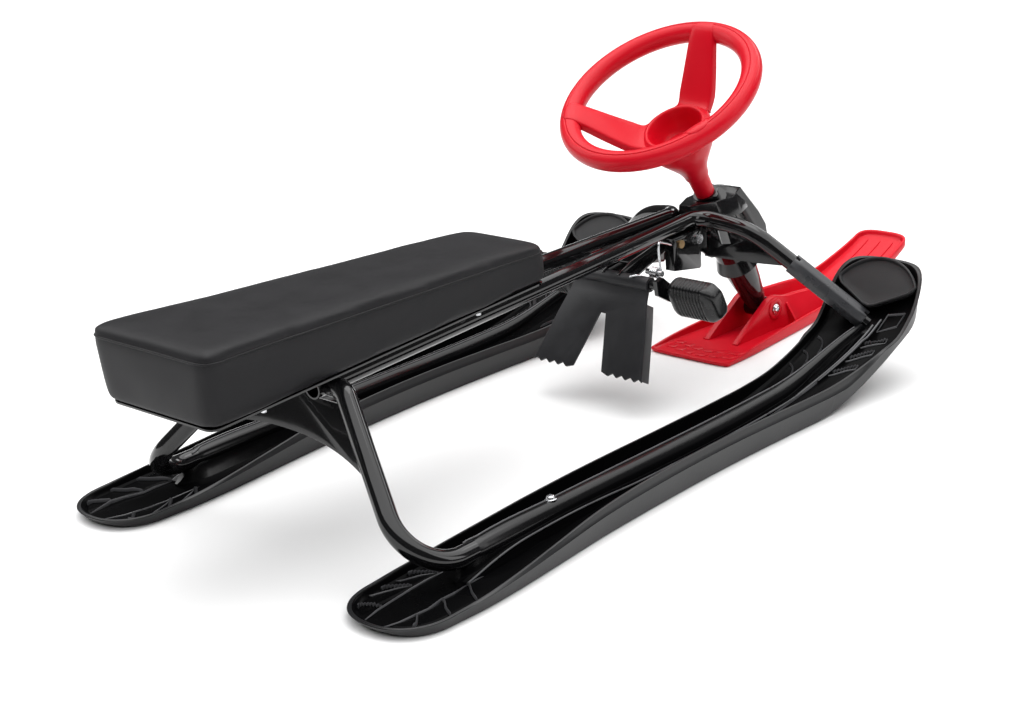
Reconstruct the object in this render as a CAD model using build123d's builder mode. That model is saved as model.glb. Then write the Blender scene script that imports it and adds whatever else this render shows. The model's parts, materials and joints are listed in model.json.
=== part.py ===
from build123d import *
import math
import os

# Snow racer sled: two long rear skis, a bent steel tube frame with a padded
# seat, a raked steering column that turns a short front ski, and a sprung
# foot brake between the frame tubes.
# Millimetres. +Y is forward, +X is the rider's right, +Z is up.
# The origin is on the ground, under the middle of the overall length and width.

# ---------------------------------------------------------------- dimensions
Y0 = -136.0            # middle of the rear skis' length, from the origin
SKI_X = 194.0          # centre line of each rear ski
SKI_T = 3.2            # ski floor and wall thickness
TUBE_R = 9.2           # seat tubes and front legs, outer radius
LEG_R = 9.6            # rear legs, outer radius
TUBE_W = 1.6           # frame tube, wall

SEAT_REAR = -444.0     # seat ends, measured from the ski middle
SEAT_FRONT = 16.0
SEAT_LIFT = 5.5        # underside of the cushion above the frame tubes
SEAT_TOP_REAR = 238.0  # the cushion is a wedge, thicker at the rear
SEAT_TOP_FRONT = 218.0
SEAT_REAR_HW = 86.0    # half widths at the top
SEAT_FRONT_HW = 58.0

PIVOT_Y, PIVOT_Z = 425.0, 27.0     # front ski bolt, on the steering axis
WHEEL_Y, WHEEL_Z = 258.0, 310.0    # steering wheel centre, on the axis
WHEEL_R, RIM_R = 103.7, 11.3       # wheel rim: ring radius, grip radius
COLUMN_R = 14.0

BRAKE_Y, BRAKE_Z = 250.0, 150.0    # brake hinge pin
ROD_Y, ROD_Z = 168.0, 129.0        # pedal rod in the claw plate's rolled top
ROD_R = 5.0

os.makedirs("parts", exist_ok=True)


def pt(x, y, z):
    """A point given from the middle of the rear skis."""
    return (x, y + Y0, z)


def keep(builder, name):
    builder.part.label = name
    export_step(builder.part, f"parts/{name}.step")


# steering axis: unit vector pointing up along the column
_ax = Vector(0, WHEEL_Y - PIVOT_Y, WHEEL_Z - PIVOT_Z)
AXIS = _ax.normalized()
print("steering axis", AXIS, "pivot", pt(0, PIVOT_Y, PIVOT_Z))


def on_axis(height):
    """Point on the steering axis at a given height above the ground."""
    k = (height - PIVOT_Z) / AXIS.Z
    return Vector(0, PIVOT_Y + Y0 + AXIS.Y * k, height)


def axis_plane(height):
    """Plane square to the steering axis, its X kept along the sled's X."""
    return Plane(origin=on_axis(height), x_dir=(1, 0, 0), z_dir=AXIS)


# ---------------------------------------------------------------- tube routes
# upper tube line, from the seat bracket to the bend at the head
U0 = (41.7, -298.2, 155.6)
U1 = (15.3, 262, 167.3)
UPPER = [pt(*U0), pt(*U1)]
# front leg: turns outward behind the head tube, then runs down to the ski
FRONT = [pt(*U1), pt(13.6, 298, 168.05), pt(72, 315, 157), pt(193, 361, 56)]
FRONT_RADII = [26, 95]
# rear leg: from under the seat out to the ski, then forward on it
LEG = [pt(36, -281, 155.8), pt(66.5, -282.5, 155.6), pt(193, -341, 26), pt(SKI_X, -250, 26), pt(SKI_X, -128, 26)]
LEG_RADII = [22, 46, 26]


def bar(points, radii, r):
    """Solid bar along a route, for cutting seats and sockets."""
    with BuildPart() as t:
        with BuildLine() as path:
            if radii:
                FilletPolyline(*points, radius=radii)
            else:
                Line(*points)
        w = path.wire()
        with BuildSketch(Plane(origin=w @ 0, z_dir=w % 0)):
            Circle(r)
        sweep(path=w)
    return t.part


leg_bar = bar(LEG, LEG_RADII, LEG_R + 0.05)
front_bar = bar(FRONT, FRONT_RADII, TUBE_R + 2.5)
upper_bar = bar([pt(43.67, -340, 154.72), pt(*U1)], None, TUBE_R + 0.4)

# ---------------------------------------------------------------- foot pads
PAD_A = math.radians(50)
PAD_N = Vector(0, -math.sin(PAD_A), math.cos(PAD_A))
pad_parts = {}
for side, sx in (("right", 1), ("left", -1)):
    with BuildPart() as foot_pad:
        pl = Plane(origin=pt(sx * SKI_X, 378.0, 94.1), x_dir=(1, 0, 0), z_dir=PAD_N)
        with BuildSketch(pl):
            with BuildLine():
                Polyline((-49, 5), (-46, -1), (-6, -26), (6, -26), (46, -1), (49, 5))
                ThreePointArc((49, 5), (0, 33), (-49, 5))
            make_face()
        extrude(amount=5)
        with BuildSketch(pl.offset(5)):
            with BuildLine():
                Polyline((-45, 5), (-42.5, 1.5), (-5, -22), (5, -22), (42.5, 1.5), (45, 5))
                ThreePointArc((45, 5), (0, 29.5), (-45, 5))
            make_face()
        extrude(amount=-2.5, mode=Mode.SUBTRACT)
        add(bar([(sx * p[0], p[1], p[2]) for p in FRONT], FRONT_RADII, TUBE_R + 2.7), mode=Mode.SUBTRACT)
    keep(foot_pad, f"foot_pad_{side}")

# ---------------------------------------------------------------- rear skis
# side profile of the running surface and of the rim, (y, z)
TAIL = [(-395, 5.0), (-372, 1.4), (-340, 0.0)]
NOSE = [(200, 0.0), (232, 2.6), (260, 9.0), (286, 17.5), (310, 27.5), (332, 38.0), (354, 49.0), (374, 61.0),
        (389, 77.0), (398.5, 94.0), (405, 113.5)]
RIM = [(-395, 10.0), (-340, 11.0), (-295, 14.0), (-250, 18.0), (-200, 23.0), (-150, 28.0), (-100, 31.0), (-50, 32.5), (50, 33.0),
       (130, 32.0), (190, 31.5), (230, 33.0), (270, 39.0), (310, 48.5), (342, 57.5), (356, 67.9), (398, 117.9)]
HALF = [(52, -340), (53.5, -305), (52, -262), (47.5, -205), (42, -140), (38.5, -60), (36.8, 20), (37.5, 90), (40, 160),
        (43.6, 220), (48.5, 280), (53, 325), (56, 360)]


def outline(inset, tail_y, nose_y):
    """Ski seen from above: waisted sides, rounded-off square ends."""
    right = []
    for i in range(13):
        t = math.radians(90 - 7.5 * i)
        w0, y0 = HALF[0][0] - inset, HALF[0][1]
        right.append((w0 * max(math.cos(t), 0) ** 0.88, y0 - (y0 - tail_y) * math.sin(t) ** 0.88))
    right += [(w - inset, y) for (w, y) in HALF[1:-1]]
    for i in range(13):
        t = math.radians(7.5 * i)
        w0, y0 = HALF[-1][0] - inset, HALF[-1][1]
        right.append((w0 * max(math.cos(t), 0) ** 0.75, y0 + (nose_y - y0) * math.sin(t) ** 0.75))
    ring = [(SKI_X + w, y + Y0) for (w, y) in right] + [(SKI_X - w, y + Y0) for (w, y) in reversed(right[1:-1])]
    with BuildSketch(Plane.XY.offset(-5)) as sk:
        with BuildLine():
            Polyline(*ring, close=True)
        make_face()
    return sk.sketch


def raised(points, t):
    """Profile line moved off itself by the floor thickness."""
    out = []
    for i, (y, z) in enumerate(points):
        p, q = points[max(i - 1, 0)], points[min(i + 1, len(points) - 1)]
        dy, dz = q[0] - p[0], q[1] - p[1]
        n = math.hypot(dy, dz)
        out.append((y - t * dz / n, z + t * dy / n))
    return out


with BuildPart() as ski_void:
    with BuildSketch(Plane.YZ.offset(SKI_X - 75)):
        with BuildLine():
            low = raised(TAIL + NOSE, SKI_T)
            low = [(y, z) for (y, z) in low if y < 340]
            zz = low[-1][1] + 4
            Polyline(*[(y + Y0, z) for (y, z) in low], (343 + Y0, zz), (343 + Y0, 140), (-400 + Y0, 140), (-400 + Y0, low[0][1]), close=True)
        make_face()
    extrude(amount=150)
    add(extrude(outline(SKI_T, -391.5, 398), amount=180, mode=Mode.PRIVATE), mode=Mode.INTERSECT)

with BuildPart() as ski_right:
    with BuildSketch(Plane.YZ.offset(SKI_X - 75)):
        with BuildLine():
            Polyline(*[(y + Y0, z) for (y, z) in TAIL + NOSE], *[(y + Y0, z) for (y, z) in reversed(RIM)], close=True)
        make_face()
    extrude(amount=150)
    add(extrude(outline(0, -395, 405), amount=180, mode=Mode.PRIVATE), mode=Mode.INTERSECT)
    add(ski_void.part, mode=Mode.SUBTRACT)
    # moulded hump that carries the frame tube and stiffens the floor
    with BuildSketch(Plane.YZ.offset(SKI_X - 14)):
        with BuildLine():
            Polyline((-345 + Y0, 2), (-325 + Y0, 20), (-128 + Y0, 20), (-112 + Y0, 33), (200 + Y0, 30),
                     (290 + Y0, 37), (320 + Y0, 48), (330 + Y0, 50), (330 + Y0, 32), (290 + Y0, 17), (240 + Y0, 5), (200 + Y0, 2), close=True)
        make_face()
    extrude(amount=28)
    add(leg_bar, mode=Mode.SUBTRACT)
    add(front_bar, mode=Mode.SUBTRACT)
print("ski volume", ski_right.part.volume, len(ski_right.part.solids()))
keep(ski_right, "ski_right")

with BuildPart() as ski_left:
    add(mirror(ski_right.part, about=Plane.YZ, mode=Mode.PRIVATE))
print("ski left", ski_left.part.volume)
keep(ski_left, "ski_left")

# ---------------------------------------------------------------- frame tubes
def tube(points, radii, r, wall, name, cut=None):
    with BuildPart() as t:
        with BuildLine() as path:
            if len(points) > 2:
                FilletPolyline(*points, radius=radii)
            else:
                Line(*points)
        w = path.wire()
        with BuildSketch(Plane(origin=w @ 0, z_dir=w % 0)):
            Circle(r)
            if wall:
                Circle(r - wall, mode=Mode.SUBTRACT)
        sweep(path=w)
        if cut is not None:
            add(cut, mode=Mode.SUBTRACT)
    keep(t, name)
    return t


for side, sx in (("right", 1), ("left", -1)):
    def m(p):
        return (sx * p[0], p[1], p[2])
    tube([m(p) for p in UPPER], None, TUBE_R, TUBE_W, f"upper_tube_{side}")
    tube([m(p) for p in FRONT], FRONT_RADII, TUBE_R, TUBE_W, f"front_leg_{side}")
    u_bar = bar([m(p) for p in UPPER], None, TUBE_R + 0.03)
    tube([m(p) for p in LEG], LEG_RADII, LEG_R, TUBE_W, f"rear_leg_{side}", cut=u_bar)
    # outer sleeve on the straight run down to the ski
    f3, f4 = Vector(*m(FRONT[2])), Vector(*m(FRONT[3]))
    a, b = f3 + (f4 - f3) * 0.36, f3 + (f4 - f3) * 0.985
    with BuildPart() as sleeve:
        with BuildSketch(Plane(origin=a, z_dir=(b - a))):
            Circle(TUBE_R + 2.4)
            Circle(TUBE_R + 0.03, mode=Mode.SUBTRACT)
        extrude(amount=(b - a).length)
    keep(sleeve, f"front_sleeve_{side}")

# ---------------------------------------------------------------- seat bracket
# stamped arch plate between the rear legs, with a top flange under the pan
arch_plane = Plane(origin=pt(0, -282.5, 155.6), x_dir=(1, 0, 0), z_dir=(0, -0.91146, 0.41143))
with BuildPart() as seat_bracket:
    with BuildSketch(arch_plane.offset(-1.5)):
        with BuildLine():
            Polyline((-140, -84), (-111, -50), (-79, -13), (-31, -13), (-31, 10.5), (31, 10.5), (31, -13), (79, -13), (111, -50), (140, -84))
            Spline((140, -84), (104, -64), (62, -52), (0, -47), (-62, -52), (-104, -64), (-140, -84))
        make_face()
    extrude(amount=3)
    with BuildSketch(Plane.XY.offset(163)):
        with Locations((0, -304 + Y0)):
            Rectangle(60, 54)
    extrude(amount=3)
    add(leg_bar, mode=Mode.SUBTRACT)
    add(mirror(leg_bar, about=Plane.YZ, mode=Mode.PRIVATE), mode=Mode.SUBTRACT)
    add(upper_bar, mode=Mode.SUBTRACT)
    add(mirror(upper_bar, about=Plane.YZ, mode=Mode.PRIVATE), mode=Mode.SUBTRACT)
print("arch solids", [round(q.volume) for q in seat_bracket.part.solids()])
keep(seat_bracket, "seat_bracket")

# ---------------------------------------------------------------- seat
# the pan and the cushion's underside run parallel to the frame tubes
SEAT_TILT = math.atan2(U1[2] - U0[2], U1[1] - U0[1])
SEAT_N = (0, -math.sin(SEAT_TILT), math.cos(SEAT_TILT))


def seat_plane(lift):
    """Plane parallel to the frame tubes, lift above them, with its origin under the seat's rear edge."""
    z = U0[2] + TUBE_R + (SEAT_REAR - U0[1]) * math.tan(SEAT_TILT) + lift
    return Plane(origin=pt(0, SEAT_REAR, z), x_dir=(1, 0, 0), z_dir=SEAT_N)


SEAT_LEN = SEAT_FRONT - SEAT_REAR
with BuildPart() as seat_pan:
    with BuildSketch(seat_plane(2.0)):
        with BuildLine():
            Polyline((-68, 16), (68, 16), (45, SEAT_LEN - 10), (-45, SEAT_LEN - 10), close=True)
        make_face()
        fillet(vertices(), 8)
    extrude(amount=SEAT_LIFT - 2.1)
    # lugs that rest on the two frame tubes
    with BuildSketch(seat_plane(-4.0)):
        for sx in (-1, 1):
            for yy, xx in ((-200, 37.1), (-60, 30.5)):
                with Locations((sx * xx, yy - SEAT_REAR)):
                    Rectangle(14, 30)
    extrude(amount=6.0)
    add(upper_bar, mode=Mode.SUBTRACT)
    add(mirror(upper_bar, about=Plane.YZ, mode=Mode.PRIVATE), mode=Mode.SUBTRACT)
keep(seat_pan, "seat_pan")

SEAT_FALL = math.atan2(SEAT_TOP_FRONT - SEAT_TOP_REAR, SEAT_LEN)
with BuildPart() as seat_cushion:
    with BuildSketch(seat_plane(SEAT_LIFT)):
        with BuildLine():
            Polyline((-78, 5), (78, 5), (53, SEAT_LEN - 2), (-53, SEAT_LEN - 2), close=True)
        make_face()
        fillet(vertices(), 16)
    with BuildSketch(Plane(origin=pt(0, SEAT_REAR, SEAT_TOP_REAR), x_dir=(1, 0, 0),
                           z_dir=(0, -math.sin(SEAT_FALL), math.cos(SEAT_FALL)))):
        with BuildLine():
            Polyline((-SEAT_REAR_HW, 0), (SEAT_REAR_HW, 0), (SEAT_FRONT_HW, SEAT_LEN - 8), (-SEAT_FRONT_HW, SEAT_LEN - 8), close=True)
        make_face()
        fillet(vertices(), 18)
    loft()
    fillet(faces().sort_by(Axis.Z)[-1].edges(), 9)
print("cushion", seat_cushion.part.volume, seat_cushion.part.bounding_box())
keep(seat_cushion, "seat_cushion")

# ---------------------------------------------------------------- head
with BuildPart() as head_tube:
    with BuildSketch(axis_plane(98)):
        Circle(21)
    extrude(amount=(176 - 98) / AXIS.Z)
    # flared cup at the lower end
    with BuildSketch(axis_plane(90)):
        Circle(26)
    with BuildSketch(axis_plane(104)):
        Circle(21)
    loft(ruled=True)
    with BuildSketch(axis_plane(85)):
        Circle(COLUMN_R + 0.06)
    extrude(amount=120, mode=Mode.SUBTRACT)
keep(head_tube, "head_tube")

with BuildPart() as head_bore:
    with BuildSketch(axis_plane(104)):
        Circle(21.05)
    extrude(amount=(176 - 104) / AXIS.Z + 0.05)
    with BuildSketch(axis_plane(160)):
        Circle(16.5)
    extrude(amount=60)
    with BuildSketch(axis_plane(86)):
        Circle(26.5)
    extrude(amount=(104.2 - 86) / AXIS.Z)

# steel gusset: cheeks beside the head tube, a rear web, and a wing under each front leg
with BuildPart() as head_gusset:
    for sx in (-1, 1):
        with BuildSketch(Plane.YZ.offset(sx * 22.3 - 1.65)):
            with BuildLine():
                Polyline((269 + Y0, 158), (269 + Y0, 138), (292 + Y0, 130), (308 + Y0, 119), (350 + Y0, 113), (368 + Y0, 113), (372 + Y0, 128), (352 + Y0, 160), close=True)
            make_face()
        extrude(amount=3.3)
        wing = Plane(origin=pt(sx * 23, 300, 0), x_dir=(sx * math.cos(math.radians(18)), math.sin(math.radians(18)), 0), z_dir=Vector(sx * math.cos(math.radians(18)), math.sin(math.radians(18)), 0).cross(Vector(0, 0, 1)))
        with BuildSketch(wing):
            with BuildLine():
                Polyline((-2, 166), (49, 157), (88, 127), (86, 117), (60, 118), (-2, 123), close=True)
            make_face()
            with BuildLine():
                Polyline((14, 153), (25, 152), (29, 138), (18, 137), close=True)
            make_face(mode=Mode.SUBTRACT)
        extrude(amount=-3)
    with BuildSketch(Plane.XZ.offset(-(299 + Y0))):
        with BuildLine():
            Polyline((-22, 130), (22, 130), (22, 158), (-22, 158), close=True)
        make_face()
    extrude(amount=-3)
    add(head_bore.part, mode=Mode.SUBTRACT)
    for f_bar in (bar(FRONT, FRONT_RADII, TUBE_R + 0.05), bar(UPPER, None, TUBE_R + 0.05)):
        add(f_bar, mode=Mode.SUBTRACT)
        add(mirror(f_bar, about=Plane.YZ, mode=Mode.PRIVATE), mode=Mode.SUBTRACT)
    with BuildSketch(Plane.YZ.offset(-30)):
        with Locations((281 + Y0, 148)):
            Circle(3.02)
    extrude(amount=60, mode=Mode.SUBTRACT)
print("gusset solids", len(head_gusset.part.solids()), [round(q.volume) for q in head_gusset.part.solids()])
keep(head_gusset, "head_gusset")

with BuildPart() as collar_bore:
    with BuildSketch(axis_plane(120)):
        Circle(21.05)
    extrude(amount=(176 - 120) / AXIS.Z + 0.3)
    with BuildSketch(axis_plane(170)):
        Circle(16.5)
    extrude(amount=80)

with BuildPart() as head_cover:
    # hood over the head tube, narrow at the back
    with BuildSketch(Plane.XY.offset(160)):
        with BuildLine():
            Polyline((-9, 292 + Y0), (9, 292 + Y0), (29, 322 + Y0), (31, 356 + Y0), (20, 384 + Y0), (-20, 384 + Y0), (-31, 356 + Y0), (-29, 322 + Y0), close=True)
        make_face()
    with BuildSketch(Plane.XY.offset(179)):
        with BuildLine():
            Polyline((-8, 294 + Y0), (8, 294 + Y0), (21, 324 + Y0), (23, 352 + Y0), (12, 378 + Y0), (-12, 378 + Y0), (-23, 352 + Y0), (-21, 324 + Y0), close=True)
        make_face()
    loft(ruled=True)
    # faceted nose
    with BuildSketch(Plane.YZ.offset(-17)):
        with BuildLine():
            Polyline((356 + Y0, 160), (356 + Y0, 172), (370 + Y0, 184), (379 + Y0, 183), (411 + Y0, 149), (424 + Y0, 131), (426 + Y0, 121), (414 + Y0, 112), (398 + Y0, 130), (376 + Y0, 160), close=True)
        make_face()
    extrude(amount=34)
    chamfer(edges().filter_by(GeomType.LINE).filter_by(lambda e: abs(abs(e.center().X) - 17) < 0.1 and e.center().Z > 120 and e.center().Y > 382 + Y0 and abs(e.tangent_at(0.5).X) < 0.1 and e.center().Z - 181 < 0), 3)
    add(collar_bore.part, mode=Mode.SUBTRACT)
    add(head_gusset.part, mode=Mode.SUBTRACT)
    for f_bar in (bar(FRONT, FRONT_RADII, TUBE_R + 0.3), bar(UPPER, None, TUBE_R + 0.3)):
        add(f_bar, mode=Mode.SUBTRACT)
        add(mirror(f_bar, about=Plane.YZ, mode=Mode.PRIVATE), mode=Mode.SUBTRACT)
    # cord outlet in the nose
    with BuildSketch(Plane.XZ.offset(-(440 + Y0))):
        with Locations((0, 138)):
            Circle(4)
    extrude(amount=26, mode=Mode.SUBTRACT)
print("cover solids", [round(q.volume) for q in head_cover.part.solids()])
keep(head_cover, "head_cover")

# ---------------------------------------------------------------- brake bracket
with BuildPart() as brake_bracket:
    for sx in (-1, 1):
        with BuildSketch(Plane.YZ.offset(sx * 25.3 - 1.25)):
            with BuildLine():
                Polyline((238 + Y0, 157), (238 + Y0, 122), (283 + Y0, 114), (286 + Y0, 116), (286 + Y0, 157.5), close=True)
            make_face()
            with Locations((BRAKE_Y + Y0, BRAKE_Z)):
                Circle(3.52, mode=Mode.SUBTRACT)
            with Locations((281 + Y0, 148)):
                Circle(3.02, mode=Mode.SUBTRACT)
        extrude(amount=2.5)
        # return lip at the back edge
        with BuildSketch(Plane.XY.offset(122)):
            with Locations((sx * 20, 239 + Y0)):
                Rectangle(11, 2)
        extrude(amount=34)
    with BuildSketch(Plane.XY.offset(156)):
        with Locations((0, 262 + Y0)):
            Rectangle(53, 48)
    extrude(amount=2.6)
    u_bar = bar(UPPER, None, TUBE_R + 0.05)
    add(u_bar, mode=Mode.SUBTRACT)
    add(mirror(u_bar, about=Plane.YZ, mode=Mode.PRIVATE), mode=Mode.SUBTRACT)
    f_bar = bar(FRONT, FRONT_RADII, TUBE_R + 0.05)
    add(f_bar, mode=Mode.SUBTRACT)
    add(mirror(f_bar, about=Plane.YZ, mode=Mode.PRIVATE), mode=Mode.SUBTRACT)
    add(head_gusset.part, mode=Mode.SUBTRACT)
print("bracket solids", [round(q.volume) for q in brake_bracket.part.solids()])
keep(brake_bracket, "brake_bracket")

with BuildPart() as bracket_bolt:
    with BuildSketch(Plane.YZ.offset(-26.6)):
        with Locations((281 + Y0, 148)):
            Circle(3)
    extrude(amount=53.2)
    for sx in (-1, 1):
        with BuildSketch(Plane.YZ.offset(sx * 26.6)):
            with Locations((281 + Y0, 148)):
                Circle(5.5)
        extrude(amount=sx * 3)
keep(bracket_bolt, "bracket_bolt")

with BuildPart() as brake_pin:
    with BuildSketch(Plane.YZ.offset(-26.6)):
        with Locations((BRAKE_Y + Y0, BRAKE_Z)):
            Circle(3.5)
    extrude(amount=53.2)
    for sx in (-1, 1):
        with BuildSketch(Plane.YZ.offset(sx * 26.6)):
            with Locations((BRAKE_Y + Y0, BRAKE_Z)):
                Circle(4.6)
        extrude(amount=sx * 2.4)
keep(brake_pin, "brake_pin")

# ---------------------------------------------------------------- brake (moving)
with BuildPart() as brake_lever:
    for sx in (-1, 1):
        with BuildSketch(Plane.YZ.offset(sx * 10.75 - 1.25)):
            with BuildLine():
                Polyline((254 + Y0, 153.5), (248 + Y0, 155), (218 + Y0, 152.5), (182 + Y0, 145), (162 + Y0, 137), (162 + Y0, 124), (176 + Y0, 122), (200 + Y0, 128), (252 + Y0, 144.8), close=True)
            make_face()
        extrude(amount=2.5)
    with BuildSketch(Plane.YZ.offset(-12)):
        with BuildLine():
            Polyline((214 + Y0, 151.5), (182 + Y0, 145), (182 + Y0, 142), (214 + Y0, 148.5), close=True)
        make_face()
    extrude(amount=24)
    with BuildSketch(Plane.YZ.offset(-20)):
        with Locations((BRAKE_Y + Y0, BRAKE_Z)):
            Circle(5.3)
    extrude(amount=40)
    with BuildSketch(Plane.YZ.offset(-40)):
        with Locations((BRAKE_Y + Y0, BRAKE_Z)):
            Circle(3.56)
        with Locations((ROD_Y + Y0, ROD_Z)):
            Circle(8.03)
    extrude(amount=80, mode=Mode.SUBTRACT)
print("lever solids", [round(q.volume) for q in brake_lever.part.solids()])
keep(brake_lever, "brake_lever")

claw_plane = Plane(origin=pt(0, 163.5, 125.5), x_dir=(1, 0, 0), z_dir=(0, -0.865, 0.502))
# in this plane local y runs up the plate, local x across the sled
with BuildPart() as brake_claw:
    with BuildSketch(claw_plane):
        with BuildLine():
            Polyline((-50, 2), (50, 2), (52, -13), (60, -40), (75, -98), (70, -95), (65, -99), (59, -95), (53, -99), (47, -95), (41, -99), (35, -95),
                     (29, -99), (20, -96), (4, -34), (-4, -34), (-20, -96), (-29, -99), (-35, -95), (-41, -99), (-47, -95), (-53, -99), (-59, -95), (-65, -99),
                     (-70, -95), (-75, -98), (-60, -40), (-52, -13), close=True)
        make_face()
    extrude(amount=-2.5)
    # rolled top round the pedal rod
    with BuildSketch(Plane.YZ.offset(-50)):
        with Locations((ROD_Y + Y0, ROD_Z)):
            Circle(8)
    extrude(amount=100)
    # folded side flanges
    with BuildSketch(claw_plane):
        for sx in (-1, 1):
            with BuildLine():
                Polyline((sx * 52.7, -16), (sx * 60, -40), (sx * 74.6, -96.5), (sx * 71.8, -96.5), (sx * 57.4, -40), (sx * 50.1, -16), close=True)
            make_face()
    extrude(amount=-14)
    with BuildSketch(Plane.YZ.offset(-70)):
        with Locations((ROD_Y + Y0, ROD_Z)):
            Circle(ROD_R + 0.02)
    extrude(amount=140, mode=Mode.SUBTRACT)
print("claw solids", [round(q.volume) for q in brake_claw.part.solids()])
keep(brake_claw, "brake_claw")

with BuildPart() as brake_rod:
    with BuildSketch(Plane.YZ.offset(-64)):
        with Locations((ROD_Y + Y0, ROD_Z)):
            Circle(ROD_R)
    extrude(amount=128)
keep(brake_rod, "brake_rod")

PEDAL_Y, PEDAL_Z = 184.0, 116.0
for side, sx in (("right", 1), ("left", -1)):
    with BuildPart() as pedal_arm:
        with BuildSketch(Plane.YZ.offset(sx * 61.5 - 2.5)):
            with BuildLine():
                Polyline((161 + Y0, 136), (172 + Y0, 138), (191 + Y0, 122), (192 + Y0, 112), (183 + Y0, 108), (163 + Y0, 120), close=True)
            make_face()
            with Locations((ROD_Y + Y0, ROD_Z)):
                Circle(ROD_R + 0.01, mode=Mode.SUBTRACT)
        extrude(amount=5)
        with BuildSketch(Plane.YZ.offset(sx * 64)):
            with Locations((PEDAL_Y + Y0, PEDAL_Z)):
                Circle(5)
        extrude(amount=sx * 62)
    keep(pedal_arm, f"pedal_arm_{side}")
    with BuildPart() as pedal_pad:
        with BuildSketch(Plane.YZ.offset(sx * 70)):
            with Locations((PEDAL_Y + Y0, PEDAL_Z)):
                RectangleRounded(44, 26, 9, rotation=-65)
                Circle(5, mode=Mode.SUBTRACT)
        extrude(amount=sx * 60)
    keep(pedal_pad, f"pedal_pad_{side}")

# ---------------------------------------------------------------- steering (moving)
STEM_Z = 186.0
with BuildPart() as steering_column:
    with BuildSketch(axis_plane(70)):
        Circle(COLUMN_R)
    extrude(amount=(STEM_Z - 70) / AXIS.Z)
    # tapered lower part
    with BuildSketch(axis_plane(86)):
        Circle(20)
    with BuildSketch(axis_plane(66)):
        Circle(17.5)
    with BuildSketch(axis_plane(33)):
        Circle(12)
    loft(ruled=True)
    # eye at the lower end, square to the ski bolt
    with BuildSketch(Plane.YZ.offset(-12)):
        with Locations((PIVOT_Y + Y0, PIVOT_Z)):
            Circle(12)
    extrude(amount=24)
    with BuildSketch(Plane.YZ.offset(-13)):
        with Locations((PIVOT_Y + Y0, PIVOT_Z)):
            Circle(5.05)
    extrude(amount=26, mode=Mode.SUBTRACT)
keep(steering_column, "steering_column")

# stem and dished hub
STEM_LEN = 74.0
with BuildPart() as wheel_stem:
    with BuildSketch(axis_plane(STEM_Z)):
        Circle(11)
    with BuildSketch(axis_plane(STEM_Z).offset(56)):
        Circle(13)
    with BuildSketch(axis_plane(STEM_Z).offset(STEM_LEN)):
        Circle(20)
    loft(ruled=True)
keep(wheel_stem, "wheel_stem")

wheel_plane = Plane(origin=pt(0, WHEEL_Y, WHEEL_Z), x_dir=(1, 0, 0), z_dir=AXIS)
hub_drop = (on_axis(STEM_Z) + AXIS * STEM_LEN - Vector(*pt(0, WHEEL_Y, WHEEL_Z))).dot(AXIS)
print("hub base below the rim plane", hub_drop)
with BuildPart() as wheel_hub:
    with BuildSketch(wheel_plane.offset(hub_drop)):
        Circle(20)
    with BuildSketch(wheel_plane.offset(hub_drop + 24)):
        Circle(36)
    loft(ruled=True)
    with BuildSketch(wheel_plane.offset(hub_drop + 4)):
        Circle(17)
    with BuildSketch(wheel_plane.offset(hub_drop + 24.01)):
        Circle(33)
    loft(ruled=True, mode=Mode.SUBTRACT)
keep(wheel_hub, "wheel_hub")

with BuildPart() as rim_solid:
    with BuildSketch(Plane(origin=wheel_plane.origin, x_dir=(1, 0, 0), z_dir=Vector(1, 0, 0).cross(AXIS) * -1)):
        with Locations((WHEEL_R, 0)):
            Circle(RIM_R)
    revolve(axis=Axis(wheel_plane.origin, AXIS), revolution_arc=360)
print("rim", rim_solid.part.volume)
with BuildPart() as wheel_rim:
    add(rim_solid.part)
keep(wheel_rim, "wheel_rim")

for i, ang in enumerate((90, 210, 330), start=1):
    a0 = math.radians(ang)
    c0 = Vector(math.cos(a0), math.sin(a0), 0)
    top = wheel_plane.from_local_coords(c0 * (WHEEL_R - 6))
    bot = wheel_plane.from_local_coords(c0 * 33 + Vector(0, 0, hub_drop + 18))
    with BuildPart() as spoke:
        d = (top - bot).normalized()
        side_dir = AXIS.cross(d).normalized()
        with BuildSketch(Plane(origin=bot, x_dir=side_dir, z_dir=d)):
            RectangleRounded(26, 8, 3)
        extrude(amount=(top - bot).length)
        add(rim_solid.part, mode=Mode.SUBTRACT)
        add(wheel_hub.part, mode=Mode.SUBTRACT)
    with BuildPart() as spoke_bar:
        add(spoke.part.solids().sort_by(SortBy.VOLUME)[-1])
    print("spoke solids", len(spoke_bar.part.solids()), spoke_bar.part.volume)
    keep(spoke_bar, f"wheel_spoke_{i}")

# ---------------------------------------------------------------- front ski (moving)
FS_TAIL, FS_TIP = 287.0, 703.0
FS_HALF = [(55, 288), (56, 326), (52, 390), (47, 470), (42, 560), (38, 640), (35, 690)]
with BuildPart() as fs_void:
    with BuildSketch(Plane.YZ.offset(-80)):
        with BuildLine():
            a = Line((280 + Y0, 3), (520 + Y0, 3))
            b = Spline(a @ 1, (600 + Y0, 11), (680 + Y0, 35), (720 + Y0, 54), tangents=((1, 0), (1, 0.5)))
            Polyline(b @ 1, (720 + Y0, 90), (280 + Y0, 90), a @ 0)
        make_face()
    extrude(amount=160)
    with BuildSketch(Plane.XY.offset(-5)):
        with BuildLine():
            r = [(w - 3, y + Y0) for (w, y) in FS_HALF]
            r[0] = (51, 280 + Y0)
            r[-1] = (32, 699 + Y0)
            Polyline(*r, *[(-x, y) for (x, y) in reversed(r)], close=True)
        make_face()
    extrude(amount=150, mode=Mode.INTERSECT)

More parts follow.
